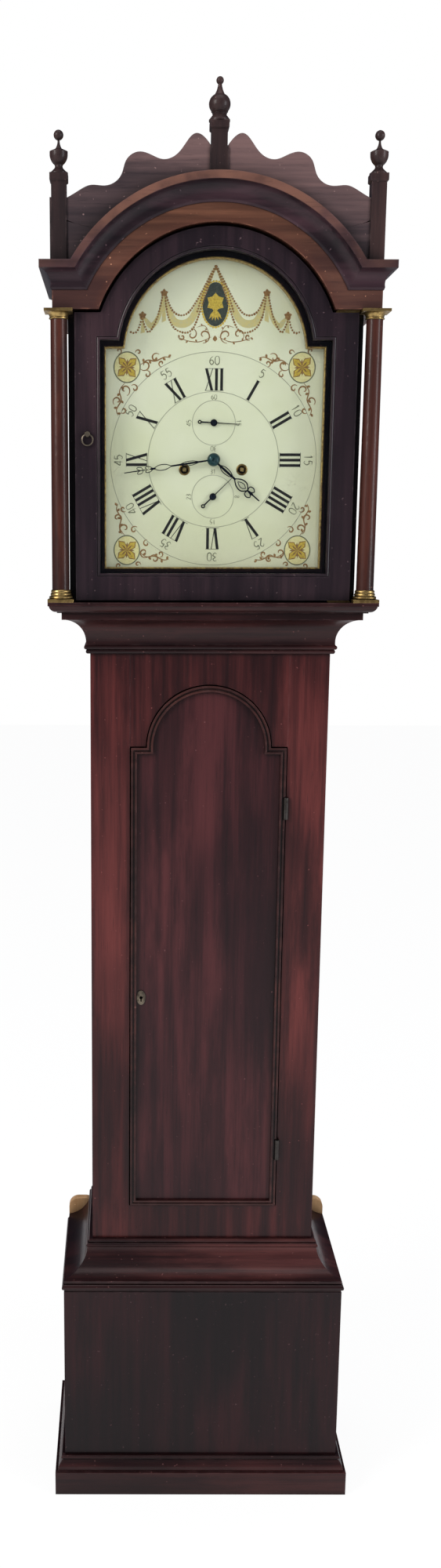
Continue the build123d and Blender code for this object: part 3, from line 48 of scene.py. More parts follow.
class Sock:
    def __init__(self, tree, socket):
        self.tree = tree
        self.socket = socket

    def put(self, target, value):
        if isinstance(value, Sock):
            self.tree.links.new(value.socket, target)
        elif value is not None:
            target.default_value = value

    def node(self, kind, out=0, values=(), **settings):
        made = self.tree.nodes.new(kind)
        for key, value in settings.items():
            setattr(made, key, value)
        for key, value in dict(values).items():
            self.put(made.inputs[key], value)
        return Sock(self.tree, made.outputs[out])

    def maths(self, operation, first, second=None, third=None):
        return self.node("ShaderNodeMath", 0, {0: first, 1: second, 2: third}, operation=operation)

    def __add__(self, other): return self.maths("ADD", self, other)
    def __radd__(self, other): return self.maths("ADD", other, self)
    def __sub__(self, other): return self.maths("SUBTRACT", self, other)
    def __rsub__(self, other): return self.maths("SUBTRACT", other, self)
    def __mul__(self, other): return self.maths("MULTIPLY", self, other)
    def __rmul__(self, other): return self.maths("MULTIPLY", other, self)
    def __truediv__(self, other): return self.maths("DIVIDE", self, other)
    def __rtruediv__(self, other): return self.maths("DIVIDE", other, self)
    def __gt__(self, other): return self.maths("GREATER_THAN", self, other)
    def __lt__(self, other): return self.maths("LESS_THAN", self, other)
    def __pow__(self, other): return self.maths("POWER", self, other)
    def __neg__(self): return self.maths("MULTIPLY", self, -1.0)

    def sine(self): return self.maths("SINE", self)
    def absolute(self): return self.maths("ABSOLUTE", self)
    def top(self, other): return self.maths("MAXIMUM", self, other)

    def ease(self, low, high):
        return self.node("ShaderNodeMapRange", 0, {0: self, 1: low, 2: high, 3: 0.0, 4: 1.0}, interpolation_type="SMOOTHSTEP")

    def mix(self, first, second):
        return self.node("ShaderNodeMix", 2, {0: self, 6: first, 7: second}, data_type="RGBA")


def rgb(values):
    return (*values, 1.0)


def start(name):
    material = bpy.data.materials.new(name)
    material.use_nodes = True
    tree = material.node_tree
    surface = tree.nodes["Principled BSDF"]
    root = Sock(tree, None)
    place = root.node("ShaderNodeTexCoord", 3)
    split = tree.nodes.new("ShaderNodeSeparateXYZ")
    tree.links.new(place.socket, split.inputs[0])
    axes = [Sock(tree, split.outputs[i]) for i in range(3)]
    return material, surface, root, axes


def point(root, x, y, z):
    return root.node("ShaderNodeCombineXYZ", 0, {0: x, 1: y, 2: z})


def noise(root, where, scale, detail=2.0, rough=0.5, distort=0.0):
    values = {"Vector": where, "Scale": scale, "Detail": detail, "Roughness": rough, "Distortion": distort}
    return root.node("ShaderNodeTexNoise", 0, values)


# ambient occlusion, used to paint shade into corners and hollows
def crevice(root, reach):
    return root.node("ShaderNodeAmbientOcclusion", 1, {"Distance": reach}, samples=6)


def soft_edges(root, radius):
    return root.node("ShaderNodeBevel", 0, {"Radius": radius}, samples=4)


def finish_surface(root, surface, colour, roughness, height, strength, reach, radius=0.0012):
    root.put(surface.inputs["Base Color"], colour)
    root.put(surface.inputs["Roughness"], roughness)
    bump = root.node("ShaderNodeBump", 0, {"Strength": strength, "Distance": reach, "Height": height, "Normal": soft_edges(root, radius)})
    root.put(surface.inputs["Normal"], bump)


def wood(name, dark, middle, light, along, gloss=0.3, seed=0.0, patch=0.5, coat=0.24, tint=None):
    material, surface, root, (x, y, z) = start(name)
    if along == "Z":
        across, deep, length = x, y, z
    elif along == "X":
        across, deep, length = z, y, x
    else:
        face = root.node("ShaderNodeTexCoord", 1)
        side = root.node("ShaderNodeSeparateXYZ", 0, {0: face}).absolute() > 0.7
        length = x + (y - x) * side
        deep = y + (x - y) * side
        across = z
    across = across + seed
    # wide growth figure, bent by a slow noise
    drift = noise(root, point(root, across * 7.0, deep * 7.0, length * 1.1), 1.0, 2.0)
    rings = ((across * 150.0 + deep * 60.0 + drift * 30.0).sine() * 0.5 + 0.5) ** 1.6
    streak = noise(root, point(root, across * 120.0, deep * 120.0, length * 4.0), 1.0, 5.0, 0.62)
    stain = noise(root, point(root, across * 15.0, deep * 15.0, length * 2.6 - seed), 1.0, 5.0, 0.66).ease(0.45, 0.60)
    fine = noise(root, point(root, across * 900.0, deep * 900.0, length * 30.0), 1.0, 2.0, 0.6)
    cloud = noise(root, point(root, across * 5.0, deep * 5.0, length * 2.2 + seed), 1.0, 3.0, 0.55)
    pores = fine.ease(0.62, 0.74)
    figure = (streak * 0.80 + rings * 0.12 + cloud * 0.70 - 0.36).ease(0.14, 0.80) * (1.0 - stain * 0.62)
    warm = (cloud.ease(0.36, 0.66)) * patch
    colour = figure.mix(rgb(dark), rgb(middle))
    colour = (warm * figure).mix(colour, rgb(light))
    if tint is not None:
        colour = tint(root, x, y, z, colour)
    colour = (pores * 0.45).mix(colour, rgb([v * 0.3 for v in dark]))
    # old polish: worn paler on edges; painted shade makes it dark in the corners
    rounded = soft_edges(root, 0.0035)
    plain = root.node("ShaderNodeNewGeometry", 1)
    along_edge = root.node("ShaderNodeVectorMath", 1, {0: rounded, 1: plain}, operation="DOT_PRODUCT")
    scuff = noise(root, point(root, x * 60.0, y * 60.0, z * 60.0), 1.0, 3.0)
    worn = (1.0 - along_edge).ease(0.02, 0.22) * scuff.ease(0.42, 0.7)
    colour = (worn * 0.5).mix(colour, rgb([min(1.0, v * 2.1 + 0.02) for v in middle]))
    # painted shade: colour darkened towards a deep tone where the occlusion node finds corners and hollows
    painted_shade_mask = crevice(root, 0.02).ease(0.35, 0.95)
    colour = (0.72 * (1.0 - painted_shade_mask)).mix(colour, rgb([v * 0.22 for v in dark]))
    speck = noise(root, point(root, x * 240.0, y * 240.0, z * 240.0 + seed), 1.0, 1.0).ease(0.74, 0.79)
    colour = (speck * 0.4).mix(colour, rgb([v * 2.2 + 0.03 for v in light]))
    smear = noise(root, point(root, x * 9.0, y * 9.0, z * 4.0), 1.0, 3.0)
    roughness = gloss + smear * 0.22 + pores * 0.15 + worn * 0.1
    height = fine * 0.35 + streak * 0.3 - pores * 0.5 + smear * 0.5
    finish_surface(root, surface, colour, roughness, height, 0.22, 0.0006)
    surface.inputs["Specular IOR Level"].default_value = 0.13
    root.put(surface.inputs["Coat Weight"], coat * (1.0 - worn))
    surface.inputs["Coat Roughness"].default_value = 0.16
    surface.inputs["Coat IOR"].default_value = 1.38
    return material


def metal(name, bright, dull, rough, stain=0.5, scratch=1.0, seed=0.0, metallic=1.0):
    material, surface, root, (x, y, z) = start(name)
    where = point(root, x + seed, y, z)
    patches = noise(root, where, 70.0, 4.0, 0.6).ease(0.40, 0.66)
    grains = noise(root, where, 900.0, 2.0)
    lines = noise(root, point(root, x * 160.0, y * 900.0, z * 1600.0), 1.0, 2.0)
    colour = (patches * stain).mix(rgb(bright), rgb(dull))
    # painted shade: colour darkened towards the dull tone where the occlusion node finds corners and hollows
    painted_shade_mask = crevice(root, 0.006).ease(0.35, 0.95)
    colour = (0.75 * (1.0 - painted_shade_mask)).mix(colour, rgb([v * 0.25 for v in dull]))
    roughness = rough + patches * 0.18 + lines * 0.1 * scratch
    finish_surface(root, surface, colour, roughness, lines * scratch + grains * 0.5, 0.12, 0.0002, 0.0006)
    surface.inputs["Metallic"].default_value = metallic
    return material


def paint(name, colour, second, rough=0.4, metallic=0.0, scale=300.0):
    material, surface, root, (x, y, z) = start(name)
    cloud = noise(root, point(root, x, y, z), scale, 3.0, 0.6).ease(0.35, 0.7)
    finish_surface(root, surface, cloud.mix(rgb(colour), rgb(second)), rough + cloud * 0.12, cloud, 0.15, 0.0001, 0.0002)
    surface.inputs["Metallic"].default_value = metallic
    return material


def dial_ground():
    material, surface, root, (x, y, z) = start("dialGround")
    where = point(root, x, y, z)
    broad = noise(root, where, 9.0, 3.0)
    tone = broad.ease(0.3, 0.7).mix(rgb((0.78, 0.80, 0.55)), rgb((0.86, 0.87, 0.66)))
    radius = (x * x + (z - 1.64) * (z - 1.64)) ** 0.5
    tone = (radius.ease(0.10, 0.24) * 0.35).mix(tone, rgb((0.66, 0.63, 0.42)))
    bent = noise(root, where, 40.0, 2.0)
    cell = root.node("ShaderNodeTexVoronoi", 0, {"Vector": point(root, x + bent * 0.01, y, z + bent * 0.012), "Scale": 75.0}, feature="DISTANCE_TO_EDGE")
    crack = (1.0 - cell.ease(0.0, 0.012)) * noise(root, where, 14.0, 2.0).ease(0.52, 0.7)
    tone = (crack * 0.35).mix(tone, rgb((0.28, 0.25, 0.15)))
    spots = noise(root, where, 420.0, 1.0).ease(0.76, 0.80)
    tone = (spots * 0.5).mix(tone, rgb((0.22, 0.17, 0.09)))
    finish_surface(root, surface, tone, 0.33 + broad * 0.12, broad - crack * 0.6, 0.1, 0.0003, 0.0004)
    surface.inputs["Coat Weight"].default_value = 0.3
    return material


def pane():
    material, surface, root, (x, y, z) = start("pane")
    tree = material.node_tree
    clear = root.node("ShaderNodeBsdfTransparent", 0, {0: (0.965, 0.975, 0.965, 1.0)})
    wave = noise(root, point(root, x * 9.0, y, z * 6.0), 1.0, 2.0)
    bump = root.node("ShaderNodeBump", 0, {"Strength": 0.06, "Distance": 0.004, "Height": wave})
    gloss = root.node("ShaderNodeBsdfGlossy", 0, {"Roughness": 0.03, "Normal": bump})
    edge = root.node("ShaderNodeFresnel", 0, {"IOR": 1.5})
    dust = noise(root, point(root, x, y, z), 500.0, 2.0).ease(0.68, 0.8) * 0.05
    mixed = root.node("ShaderNodeMixShader", 0, {0: edge * 0.7 + dust, 1: clear, 2: gloss})
    tree.links.new(mixed.socket, tree.nodes["Material Output"].inputs[0])
    return material


def frieze_tint(root, x, y, z, colour):
    # painted highlight: paler fillet along the top of the cornice, straight and arched, broken into patches and
    # stronger higher up
    radius = (x * x + (z - 1.688) * (z - 1.688)) ** 0.5
    inside = x.absolute() < (z - 1.747) * 0.617 + 0.154
    level = (1.0 - inside) * z.ease(1.7945, 1.7955)
    arch = inside * radius.ease(0.2125, 0.2135)
    highlight_patches = noise(root, point(root, x * 16.0, y * 16.0, z * 16.0), 1.0, 4.0).ease(0.34, 0.62)
    return (level.top(arch) * (highlight_patches * 0.6 + 0.15) * (z.ease(1.79, 1.88) * 0.7 + 0.3)).mix(colour, rgb((0.125, 0.055, 0.036)))


def frieze_glow(root, x, y, z, colour):
    # painted light: the crown of the arched frieze keeps its bright tone as a painted highlight, the lower part is
    # darkened as painted shade, and a painted shade band runs along the inner arch edge
    radius = (x * x + (z - 1.688) * (z - 1.688)) ** 0.5
    inner = radius.ease(0.166, 0.176)
    crown = z.ease(1.775, 1.865)
    colour = (0.7 * (1.0 - crown)).mix(colour, rgb((0.026, 0.0105, 0.0105)))
    return (0.4 * (1.0 - inner)).mix(colour, rgb((0.05, 0.016, 0.01)))


mats = {
    "trunk": wood("woodTrunk", (0.0077, 0.0014, 0.0019), (0.0365, 0.0062, 0.0063), (0.0883, 0.0179, 0.0157), "Z", 0.30, 0.3, 0.9),
    "door": wood("woodDoor", (0.0066, 0.0014, 0.0022), (0.0249, 0.0050, 0.0064), (0.0503, 0.0113, 0.0121), "Z", 0.30, 1.7, 0.85),
    "rail": wood("woodRail", (0.0086, 0.0026, 0.0027), (0.0239, 0.0065, 0.0058), (0.0499, 0.0143, 0.0107), "X", 0.30, 2.1, 0.6),
    "mould": wood("woodMould", (0.0051, 0.0014, 0.0018), (0.0239, 0.0058, 0.0058), (0.0599, 0.0166, 0.0146), "run", 0.30, 0.9, 0.8),
    "base": wood("woodBase", (0.0020, 0.0003, 0.0007), (0.0079, 0.0011, 0.0019), (0.0182, 0.0027, 0.0036), "Z", 0.32, 3.1, 0.7),
    "hood": wood("woodHood", (0.0060, 0.0033, 0.0053), (0.0162, 0.0081, 0.0116), (0.0357, 0.0167, 0.0192), "Z", 0.33, 4.4, 0.5),
    "frieze": wood("woodFrieze", (0.0279, 0.0101, 0.0059), (0.140, 0.0529, 0.0281), (0.259, 0.113, 0.0594), "X", 0.34, 5.2, 0.9, tint=frieze_glow),
    "cornice": wood("woodCornice", (0.0040, 0.0019, 0.0035), (0.0140, 0.0060, 0.0093), (0.0421, 0.0182, 0.0238), "run", 0.38, 6.3, 0.9, tint=frieze_tint),
    "crest": wood("woodCrest", (0.0150, 0.0103, 0.0125), (0.0449, 0.0279, 0.0299), (0.112, 0.0642, 0.0597), "X", 0.44, 7.7, 0.8, 0.1),
    "block": wood("woodBlock", (0.0094, 0.0053, 0.0058), (0.0275, 0.0132, 0.0128), (0.0660, 0.0317, 0.0256), "Z", 0.40, 8.2, 0.6, 0.15),
    "column": wood("woodColumn", (0.0060, 0.0013, 0.0010), (0.0303, 0.0059, 0.0034), (0.0606, 0.0138, 0.0072), "Z", 0.42, 9.1, 0.8, 0.2),
    "pine": wood("woodPine", (0.20, 0.11, 0.050), (0.34, 0.21, 0.11), (0.42, 0.28, 0.15), "Z", 0.6, 10.4, 0.5, 0.0),
    "brass": metal("brassAged", (0.42, 0.29, 0.11), (0.085, 0.052, 0.022), 0.27, 0.9),
    "gear": metal("brassTrain", (0.72, 0.52, 0.21), (0.45, 0.30, 0.11), 0.28, 0.4),
    "bronze": metal("bronzeDark", (0.17, 0.14, 0.105), (0.035, 0.030, 0.025), 0.34, 0.8),
    "bell": metal("bellMetal", (0.62, 0.47, 0.22), (0.36, 0.26, 0.12), 0.22, 0.4),
    "iron": metal("ironDark", (0.050, 0.045, 0.042), (0.022, 0.018, 0.016), 0.45, 0.8, 0.4),
    "cast": metal("ironCast", (0.075, 0.070, 0.066), (0.080, 0.045, 0.028), 0.62, 0.5, 0.2),
    "steel": metal("steelWorn", (0.44, 0.44, 0.45), (0.20, 0.18, 0.17), 0.30, 0.5),
    "blued": metal("steelBlued", (0.022, 0.028, 0.048), (0.012, 0.012, 0.018), 0.26, 0.6),
    "dome": metal("enamelDome", (0.012, 0.060, 0.070), (0.006, 0.030, 0.042), 0.16, 0.5, 0.3, metallic=0.35),
    "gut": paint("gutLine", (0.42, 0.30, 0.15), (0.30, 0.20, 0.09), 0.5),
    "ink": paint("inkBlack", (0.010, 0.010, 0.010), (0.028, 0.026, 0.022), 0.38, 0.0, 900.0),
    "thin": paint("inkGrey", (0.22, 0.22, 0.16), (0.34, 0.34, 0.25), 0.4, 0.0, 500.0),
    "brown": paint("inkBrown", (0.27, 0.13, 0.045), (0.42, 0.24, 0.08), 0.45, 0.1, 600.0),
    "gilt": paint("giltLeaf", (0.90, 0.68, 0.12), (0.66, 0.42, 0.06), 0.34, 0.35, 420.0),
    "straw": paint("strawShade", (0.72, 0.60, 0.24), (0.62, 0.58, 0.33), 0.42, 0.1, 400.0),
    "slate": paint("slateOval", (0.040, 0.052, 0.044), (0.075, 0.088, 0.072), 0.4, 0.0, 500.0),
    "pale": paint("paleOval", (0.86, 0.80, 0.40), (0.78, 0.70, 0.34), 0.4, 0.0, 300.0),
    "green": paint("greenOutline", (0.16, 0.17, 0.10), (0.24, 0.24, 0.15), 0.4, 0.0, 400.0),
    "slip": paint("giltSlip", (0.50, 0.34, 0.10), (0.20, 0.12, 0.05), 0.35, 0.5, 250.0),
    "dial": dial_ground(),
    "pane": pane(),
}
print("stage: materials made")

skins = {
    "trunk": ["trunk_front_frame"],
    "door": ["trunk_door_panel"],
    "rail": ["trunk_door_moulding"],
    "mould": ["base_moulding", "throat_moulding", "plinth", "hood_base_moulding"],
    "base": ["base_boards", "trunk_sides"],
    "hood": ["hood_sides", "hood_door_frame", "hood_dial_mask"],
    "frieze": ["hood_frieze"],
    "cornice": ["hood_cornice"],
    "crest": ["cresting_boards"],
    "block": ["finial_blocks", "finials"],
    "column": ["column_shafts"],
    "pine": ["backboard", "seat_board", "hood_roof"],
    "brass": ["column_brasses", "hood_hinge_plates", "hood_door_straps", "pendulum_bob"],
    "gear": ["front_plate", "back_plate", "centre_arbor", "hour_wheel", "minute_wheel", "going_great_wheel", "third_wheel",
             "escape_wheel", "going_barrel", "strike_barrel", "going_pulley", "strike_pulley"],
    "bronze": ["ring_pull_stud", "ring_pull", "trunk_door_escutcheon"],
    "bell": ["bell"],
    "iron": ["trunk_hinge_fixed_leaves", "trunk_hinge_door_leaves", "trunk_door_lock", "dial_feet"],
    "cast": ["going_weight", "strike_weight"],
    "steel": ["lock_bolt", "pallets", "hammer", "pendulum_rod"],
    "blued": ["minute_hand", "hour_hand", "seconds_hand", "date_hand"],
    "gut": ["going_line", "strike_line"],
    "dial": ["dial_plate"],
    "pane": ["hood_door_glass"],
}
for skin, members in skins.items():
    for member in members:
        nodes[member].data.materials.clear()
        nodes[member].data.materials.append(mats[skin])
print("stage: nodes coloured")


# Flat painted work on the dial: x across and z up in millimetres from the dial's centre
dial = {"x": 0.0, "z": 1560.0, "y": -68.75, "arch": 133.0}
levels = {"ground": 0.10, "under": 0.16, "middle": 0.24, "upper": 0.32}


def sheet_of(name, shapes, level, skin, body="case"):
    # shapes are outlines; each is set a hair in front of the last so that none share a plane
    verts, faces = [], []
    for index, shape in enumerate(shapes):
        depth = dial["y"] - levels[level] - 0.003 * (index % 17)
        area = sum(a[0] * b[1] - b[0] * a[1] for a, b in zip(shape, shape[1:] + shape[:1]))
        ordered = shape if area > 0 else shape[::-1]
        first = len(verts)
        verts += [(px / 1000, depth / 1000, (pz + dial["z"]) / 1000) for px, pz in ordered]
        faces.append(tuple(range(first, first + len(ordered))))
    mesh = bpy.data.meshes.new(name)
    mesh.from_pydata(verts, [], faces)
    mesh.materials.append(mats[skin])
    piece = bpy.data.objects.new(name, mesh)
    bpy.context.scene.collection.objects.link(piece)
    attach(piece, body)
    return piece


def turn(shape, degrees, cx=0.0, cz=0.0):
    a = math.radians(degrees)
    return [(cx + px * math.cos(a) + pz * math.sin(a), cz - px * math.sin(a) + pz * math.cos(a)) for px, pz in shape]


def ring_strips(cx, cz, rx, rz, width, parts=96):
    out = []
    for i in range(parts):
        a0 = 2 * math.pi * i / parts
        a1 = 2 * math.pi * (i + 1) / parts
        out.append([(cx + (rx + w) * math.cos(a), cz + (rz + w) * math.sin(a))
                    for a, w in ((a0, -width / 2), (a0, width / 2), (a1, width / 2), (a1, -width / 2))])
    return out


def oval(cx, cz, rx, rz, parts=40):
    return [(cx + rx * math.cos(2 * math.pi * i / parts), cz + rz * math.sin(2 * math.pi * i / parts)) for i in range(parts)]


def smooth(points, per=8):
    ends = [points[0]] + list(points) + [points[-1]]
    out = []
    for p0, p1, p2, p3 in zip(ends, ends[1:], ends[2:], ends[3:]):
        for step in range(per):
            t = step / per
            out.append(tuple(0.5 * (2 * b + (c - a) * t + (2 * a - 5 * b + 4 * c - d) * t * t + (3 * b - a - 3 * c + d) * t ** 3)
                             for a, b, c, d in zip(p0, p1, p2, p3)))
    return out + [tuple(points[-1])]


def ribbon(points, width, taper=0.25):
    # a stroke that swells in its middle, cut into four-sided pieces
    line = smooth(points)
    sides = []
    for i, (px, pz) in enumerate(line):
        ax, az = line[max(0, i - 1)]
        bx, bz = line[min(len(line) - 1, i + 1)]
        length = math.hypot(bx - ax, bz - az) or 1.0
        swell = taper + (1 - taper) * math.sin(math.pi * i / (len(line) - 1))
        half = width * swell / 2
        sides.append(((px - (bz - az) / length * half, pz + (bx - ax) / length * half),
                      (px + (bz - az) / length * half, pz - (bx - ax) / length * half)))
    return [[a[0], a[1], b[1], b[0]] for a, b in zip(sides, sides[1:])]


def stroke(x0, z0, x1, z1, width):
    # straight stroke with level ends
    return [(x0 - width / 2, z0), (x0 + width / 2, z0), (x1 + width / 2, z1), (x1 - width / 2, z1)]


chapter = {"inner": 90.0, "outer": 118.0, "thick": 3.7, "thin": 0.9, "serif": 0.5}


def numeral(text):
    z0, z1 = chapter["inner"], chapter["outer"]
    thick, thin, serif = chapter["thick"], chapter["thin"], chapter["serif"]
    widths = {"I": 7.0, "V": 12.5, "X": 12.5}
    span = sum(widths[letter] for letter in text)
    at = -span / 2
    shapes = []
    for letter in text:
        wide = widths[letter]
        mid = at + wide / 2
        if letter == "I":
            shapes.append(stroke(mid, z0, mid, z1, thick))
        if letter == "V":
            shapes.append(stroke(mid, z0, at + thick / 2 + 0.6, z1, thick))
            shapes.append(stroke(mid + 0.6, z0, at + wide - 1.6, z1, thin))
        if letter == "X":
            shapes.append(stroke(at + wide - thick / 2 - 0.6, z0, at + thick / 2 + 0.6, z1, thick))
            shapes.append(stroke(at + 1.6, z0, at + wide - 1.6, z1, thin))
        at += wide
    bar = span / 2 - 0.6
    for z in (z0, z1):
        shapes.append([(-bar, z - serif / 2), (bar, z - serif / 2), (bar, z + serif / 2), (-bar, z + serif / 2)])
    return shapes


hours = ["XII", "I", "II", "III", "IIII", "V", "VI", "VII", "VIII", "IX", "X", "XI"]
hour_shapes = []
for index, text in enumerate(hours):
    hour_shapes += [turn(shape, 30 * index) for shape in numeral(text)]
sheet_of("hourNumerals", hour_shapes, "upper", "ink")
circles = ring_strips(0, 0, 139.4, 139.4, 0.55, 180) + ring_strips(0, 0, 88.5, 88.5, 0.55, 140)
circles += ring_strips(0, 48.3, 29.0, 29.0, 0.5, 72) + ring_strips(0, -48.3, 28.5, 28.5, 0.5, 72)
sheet_of("chapterCircles", circles, "middle", "thin")

# Thin figures drawn as strokes on a grid 1 wide and 2 high
figures = {
    "0": [(0.5, 2), (0.95, 1.6), (0.95, 0.4), (0.5, 0), (0.05, 0.4), (0.05, 1.6), (0.5, 2)],
    "1": [(0.2, 1.6), (0.5, 2), (0.5, 1), (0.5, 0)],
    "2": [(0.05, 1.5), (0.45, 2), (0.95, 1.5), (0.5, 0.7), (0.05, 0.02), (0.5, 0.02), (0.95, 0.02)],
    "3": [(0.1, 1.85), (0.6, 2), (0.9, 1.5), (0.4, 1.1), (0.95, 0.6), (0.5, 0), (0.05, 0.3)],
    "4": [(0.75, 0), (0.75, 1), (0.75, 2), (0.3, 1.2), (0.0, 0.6), (0.5, 0.6), (1.0, 0.6)],
    "5": [(0.9, 1.98), (0.5, 1.98), (0.2, 1.95), (0.12, 1.2), (0.6, 1.3), (0.95, 0.7), (0.5, 0), (0.05, 0.25)],
    "6": [(0.85, 1.9), (0.3, 1.5), (0.05, 0.6), (0.5, 0), (0.95, 0.55), (0.5, 1.1), (0.1, 0.7)],
    "7": [(0.05, 1.9), (0.5, 1.95), (0.95, 1.95), (0.6, 1.0), (0.35, 0)],
    "8": [(0.5, 1.1), (0.1, 1.55), (0.5, 2), (0.9, 1.55), (0.5, 1.1), (0.05, 0.5), (0.5, 0), (0.95, 0.5), (0.5, 1.1)],
    "9": [(0.9, 1.3), (0.5, 0.9), (0.05, 1.45), (0.5, 2), (0.95, 1.4), (0.7, 0.5), (0.2, 0.1)],
}


def figure_text(text, size, radius, weight):
    shapes = []
    pitch = size * 0.68
    for place, letter in enumerate(text):
        left = (place - len(text) / 2) * pitch + size * 0.06
        path = [(left + px * size * 0.52, radius + (pz - 1) * size / 2) for px, pz in figures[letter]]
        shapes += ribbon(path, weight, 0.35)
    return shapes


minute_shapes = []
for index in range(12):
    for shape in figure_text(str(60 if index == 0 else 5 * index), 11.0, 128.5, 1.25):
        minute_shapes.append(turn(shape, 30 * index))
for count in range(4):
    for shape in figure_text(["60", "15", "30", "45"][count], 6.2, 33.5, 0.7):
        minute_shapes.append(turn(shape, 90 * count, 0, 48.3))
    for shape in figure_text(["31", "8", "15", "23"][count], 6.0, 33.0, 0.7):
        minute_shapes.append(turn(shape, 90 * count, 0, -48.3))
sheet_of("minuteFigures", minute_shapes, "upper", "green")
print("stage: numerals drawn")


# Corner ovals, each with a four-petal flower and scrolls
corner = {"x": 117.0, "z": 119.5, "rx": 17.5, "rz": 19.5, "petal": 16.0}


def petal(cx, cz, length, width, degrees):
    shape = [(0, 0), (width * 0.45, length * 0.3), (width * 0.62, length * 0.62), (width * 0.22, length * 0.86), (0, length),
             (-width * 0.22, length * 0.86), (-width * 0.62, length * 0.62), (-width * 0.45, length * 0.3)]
    return turn(shape, degrees, cx, cz)


def scroll(cx, cz, size, degrees, flip=1, width=2.0):
    path = []
    for i in range(15):
        a = i * 0.42
        r = size * (0.16 + 0.84 * (i / 14) ** 1.1)
        path.append((flip * r * math.cos(a), r * math.sin(a)))
    return ribbon(turn(path, degrees, cx, cz), width, 0.35)


def leafed(points, width=1.7, leaf=5.4):
    shapes = ribbon(points, width, 0.3)
    line = smooth(points, 4)
    for i in range(2, len(line) - 1, 3):
        bearing = math.degrees(math.atan2(line[i + 1][0] - line[i][0], line[i + 1][1] - line[i][1]))
        side = 55 if i % 2 else -55
        shapes.append(petal(*line[i], leaf, leaf * 0.5, bearing + side))
    return shapes


ground_shapes, flower, edges, dark_petals, scrolls, outlines = [], [], [], [], [], []
for sx in (-1, 1):
    for sz in (-1, 1):
        cx, cz = sx * corner["x"], sz * corner["z"]
        ground_shapes.append(oval(cx, cz, corner["rx"], corner["rz"]))
        outlines += ring_strips(cx, cz, corner["rx"], corner["rz"], 1.5, 48)
        for k in range(4):
            edges.append(petal(cx, cz, corner["petal"] + 1.2, 8.6, 42 * sx + 90 * k))
            flower.append(petal(cx, cz, corner["petal"], 6.6, 42 * sx + 90 * k))
            edges.append(petal(cx, cz, corner["petal"] * 0.66, 2.6, 42 * sx + 90 * k + 45))
            dark_petals.append(petal(cx, cz, corner["petal"] * 0.62, 1.6, 42 * sx + 90 * k))
        inward = [(cx - sx * 18, cz + sz * 3), (cx - sx * 27, cz + sz * 9), (cx - sx * 38, cz + sz * 8), (cx - sx * 50, cz + sz * 13), (cx - sx * 58, cz + sz * 12)]
        down = [(cx + sx * 3, cz - sz * 20), (cx + sx * 10, cz - sz * 30), (cx + sx * 8, cz - sz * 42), (cx + sx * 14, cz - sz * 54), (cx + sx * 12, cz - sz * 62)]
        scrolls += leafed(inward) + leafed(down)
        for out, up, size, lead, flip in ((-24, 3, 8.0, 20, 1), (-38, 12, 6.5, 200, 1), (-46, 5, 4.5, 300, -1), (-27, -9, 5.0, 120, -1),
                                          (3, -29, 8.0, 90, 1), (13, -43, 6.5, 250, -1), (5, -55, 4.5, 20, 1), (-10, -27, 5.5, 160, -1),
                                          (11, 21, 4.5, 60, 1), (-15, 19, 4.0, 210, -1)):
            scrolls += scroll(cx + sx * out, cz + sz * up, size, lead * sx * sz, flip * sx * sz)
sheet_of("cornerGrounds", ground_shapes, "ground", "pale")
sheet_of("cornerOutlines", outlines, "middle", "green")
sheet_of("cornerEdges", edges, "under", "brown")
sheet_of("cornerFlowers", flower, "middle", "gilt")
sheet_of("cornerVeins", dark_petals, "upper", "brown")
sheet_of("cornerScrolls", scrolls, "middle", "brown")
print("stage: corners drawn")

# Arch: draped cloth on five points, beaded strings and a dark oval with a gold rosette
arch = {"top": 246.0, "oval_z": 199.0, "rx": 17.0, "rz": 27.5, "foot": 158.0}
drapes = [
    [(0, arch["top"]), (19, 205), (34, 178), (52, 176), (62, 192), (68, 212)],
    [(68, 212), (74, 186), (84, 172), (91, 178), (95, 184)],
]
strings = [
    [(1, arch["top"]), (25, 203), (40, 186), (56, 190), (67, 214)],
    [(1, arch["top"]), (13, 212), (30, 168), (50, 166), (62, 182), (67, 210)],
    [(69, 214), (77, 182), (88, 164), (95, 175), (97, 184)],
    [(97, 184), (101, 170), (106, 163), (112, 164)],
    [(0, arch["top"]), (10, 225), (19, 205), (24, 190)],
]
cloth, tails = [], []
for sx in (-1, 1):
    for path, wide in zip(drapes, (10.0, 7.0)):
        cloth += ribbon([(sx * px, pz) for px, pz in path], wide, 0.15)
    for px, pz, length in ((68, 210, 34), (96, 184, 22)):
        tails.append([(sx * (px - 1.0), pz), (sx * (px + 1.0), pz), (sx * (px + 3.2), pz - length), (sx * (px - 2.6), pz - length * 0.92)])
sheet_of("archDrapes", cloth, "under", "straw")
sheet_of("archTails", tails, "under", "straw")
arch_scrolls, knots = [], []
for sx in (-1, 1):
    arch_scrolls += scroll(sx * 15, 160, 10.0, 60 * sx, sx, 1.9) + scroll(sx * 31, 161, 8.0, 240, -sx, 1.8) + scroll(sx * 44, 158, 4.5, 30, sx)
    arch_scrolls += leafed([(sx * 5, 158), (sx * 20, 152), (sx * 36, 153), (sx * 50, 158)], 1.1, 4.0)
    arch_scrolls += leafed([(sx * 8, 163), (sx * 14, 172), (sx * 25, 170)], 0.9, 3.4)
    for px, pz in ((68, 215), (96.5, 187)):
        knots += [petal(sx * px, pz - 2, 5.5, 3.2, a) for a in (0, 75, -75, 140, -140)]
knots += [petal(0, 160, 8.0, 5.0, 180), petal(0, arch["top"] - 1, 4.0, 3.0, 180)] + [oval(0, arch["top"], 2.0, 2.0, 16)]
sheet_of("archScrolls", arch_scrolls, "middle", "brown")
sheet_of("archKnots", knots, "middle", "brown")
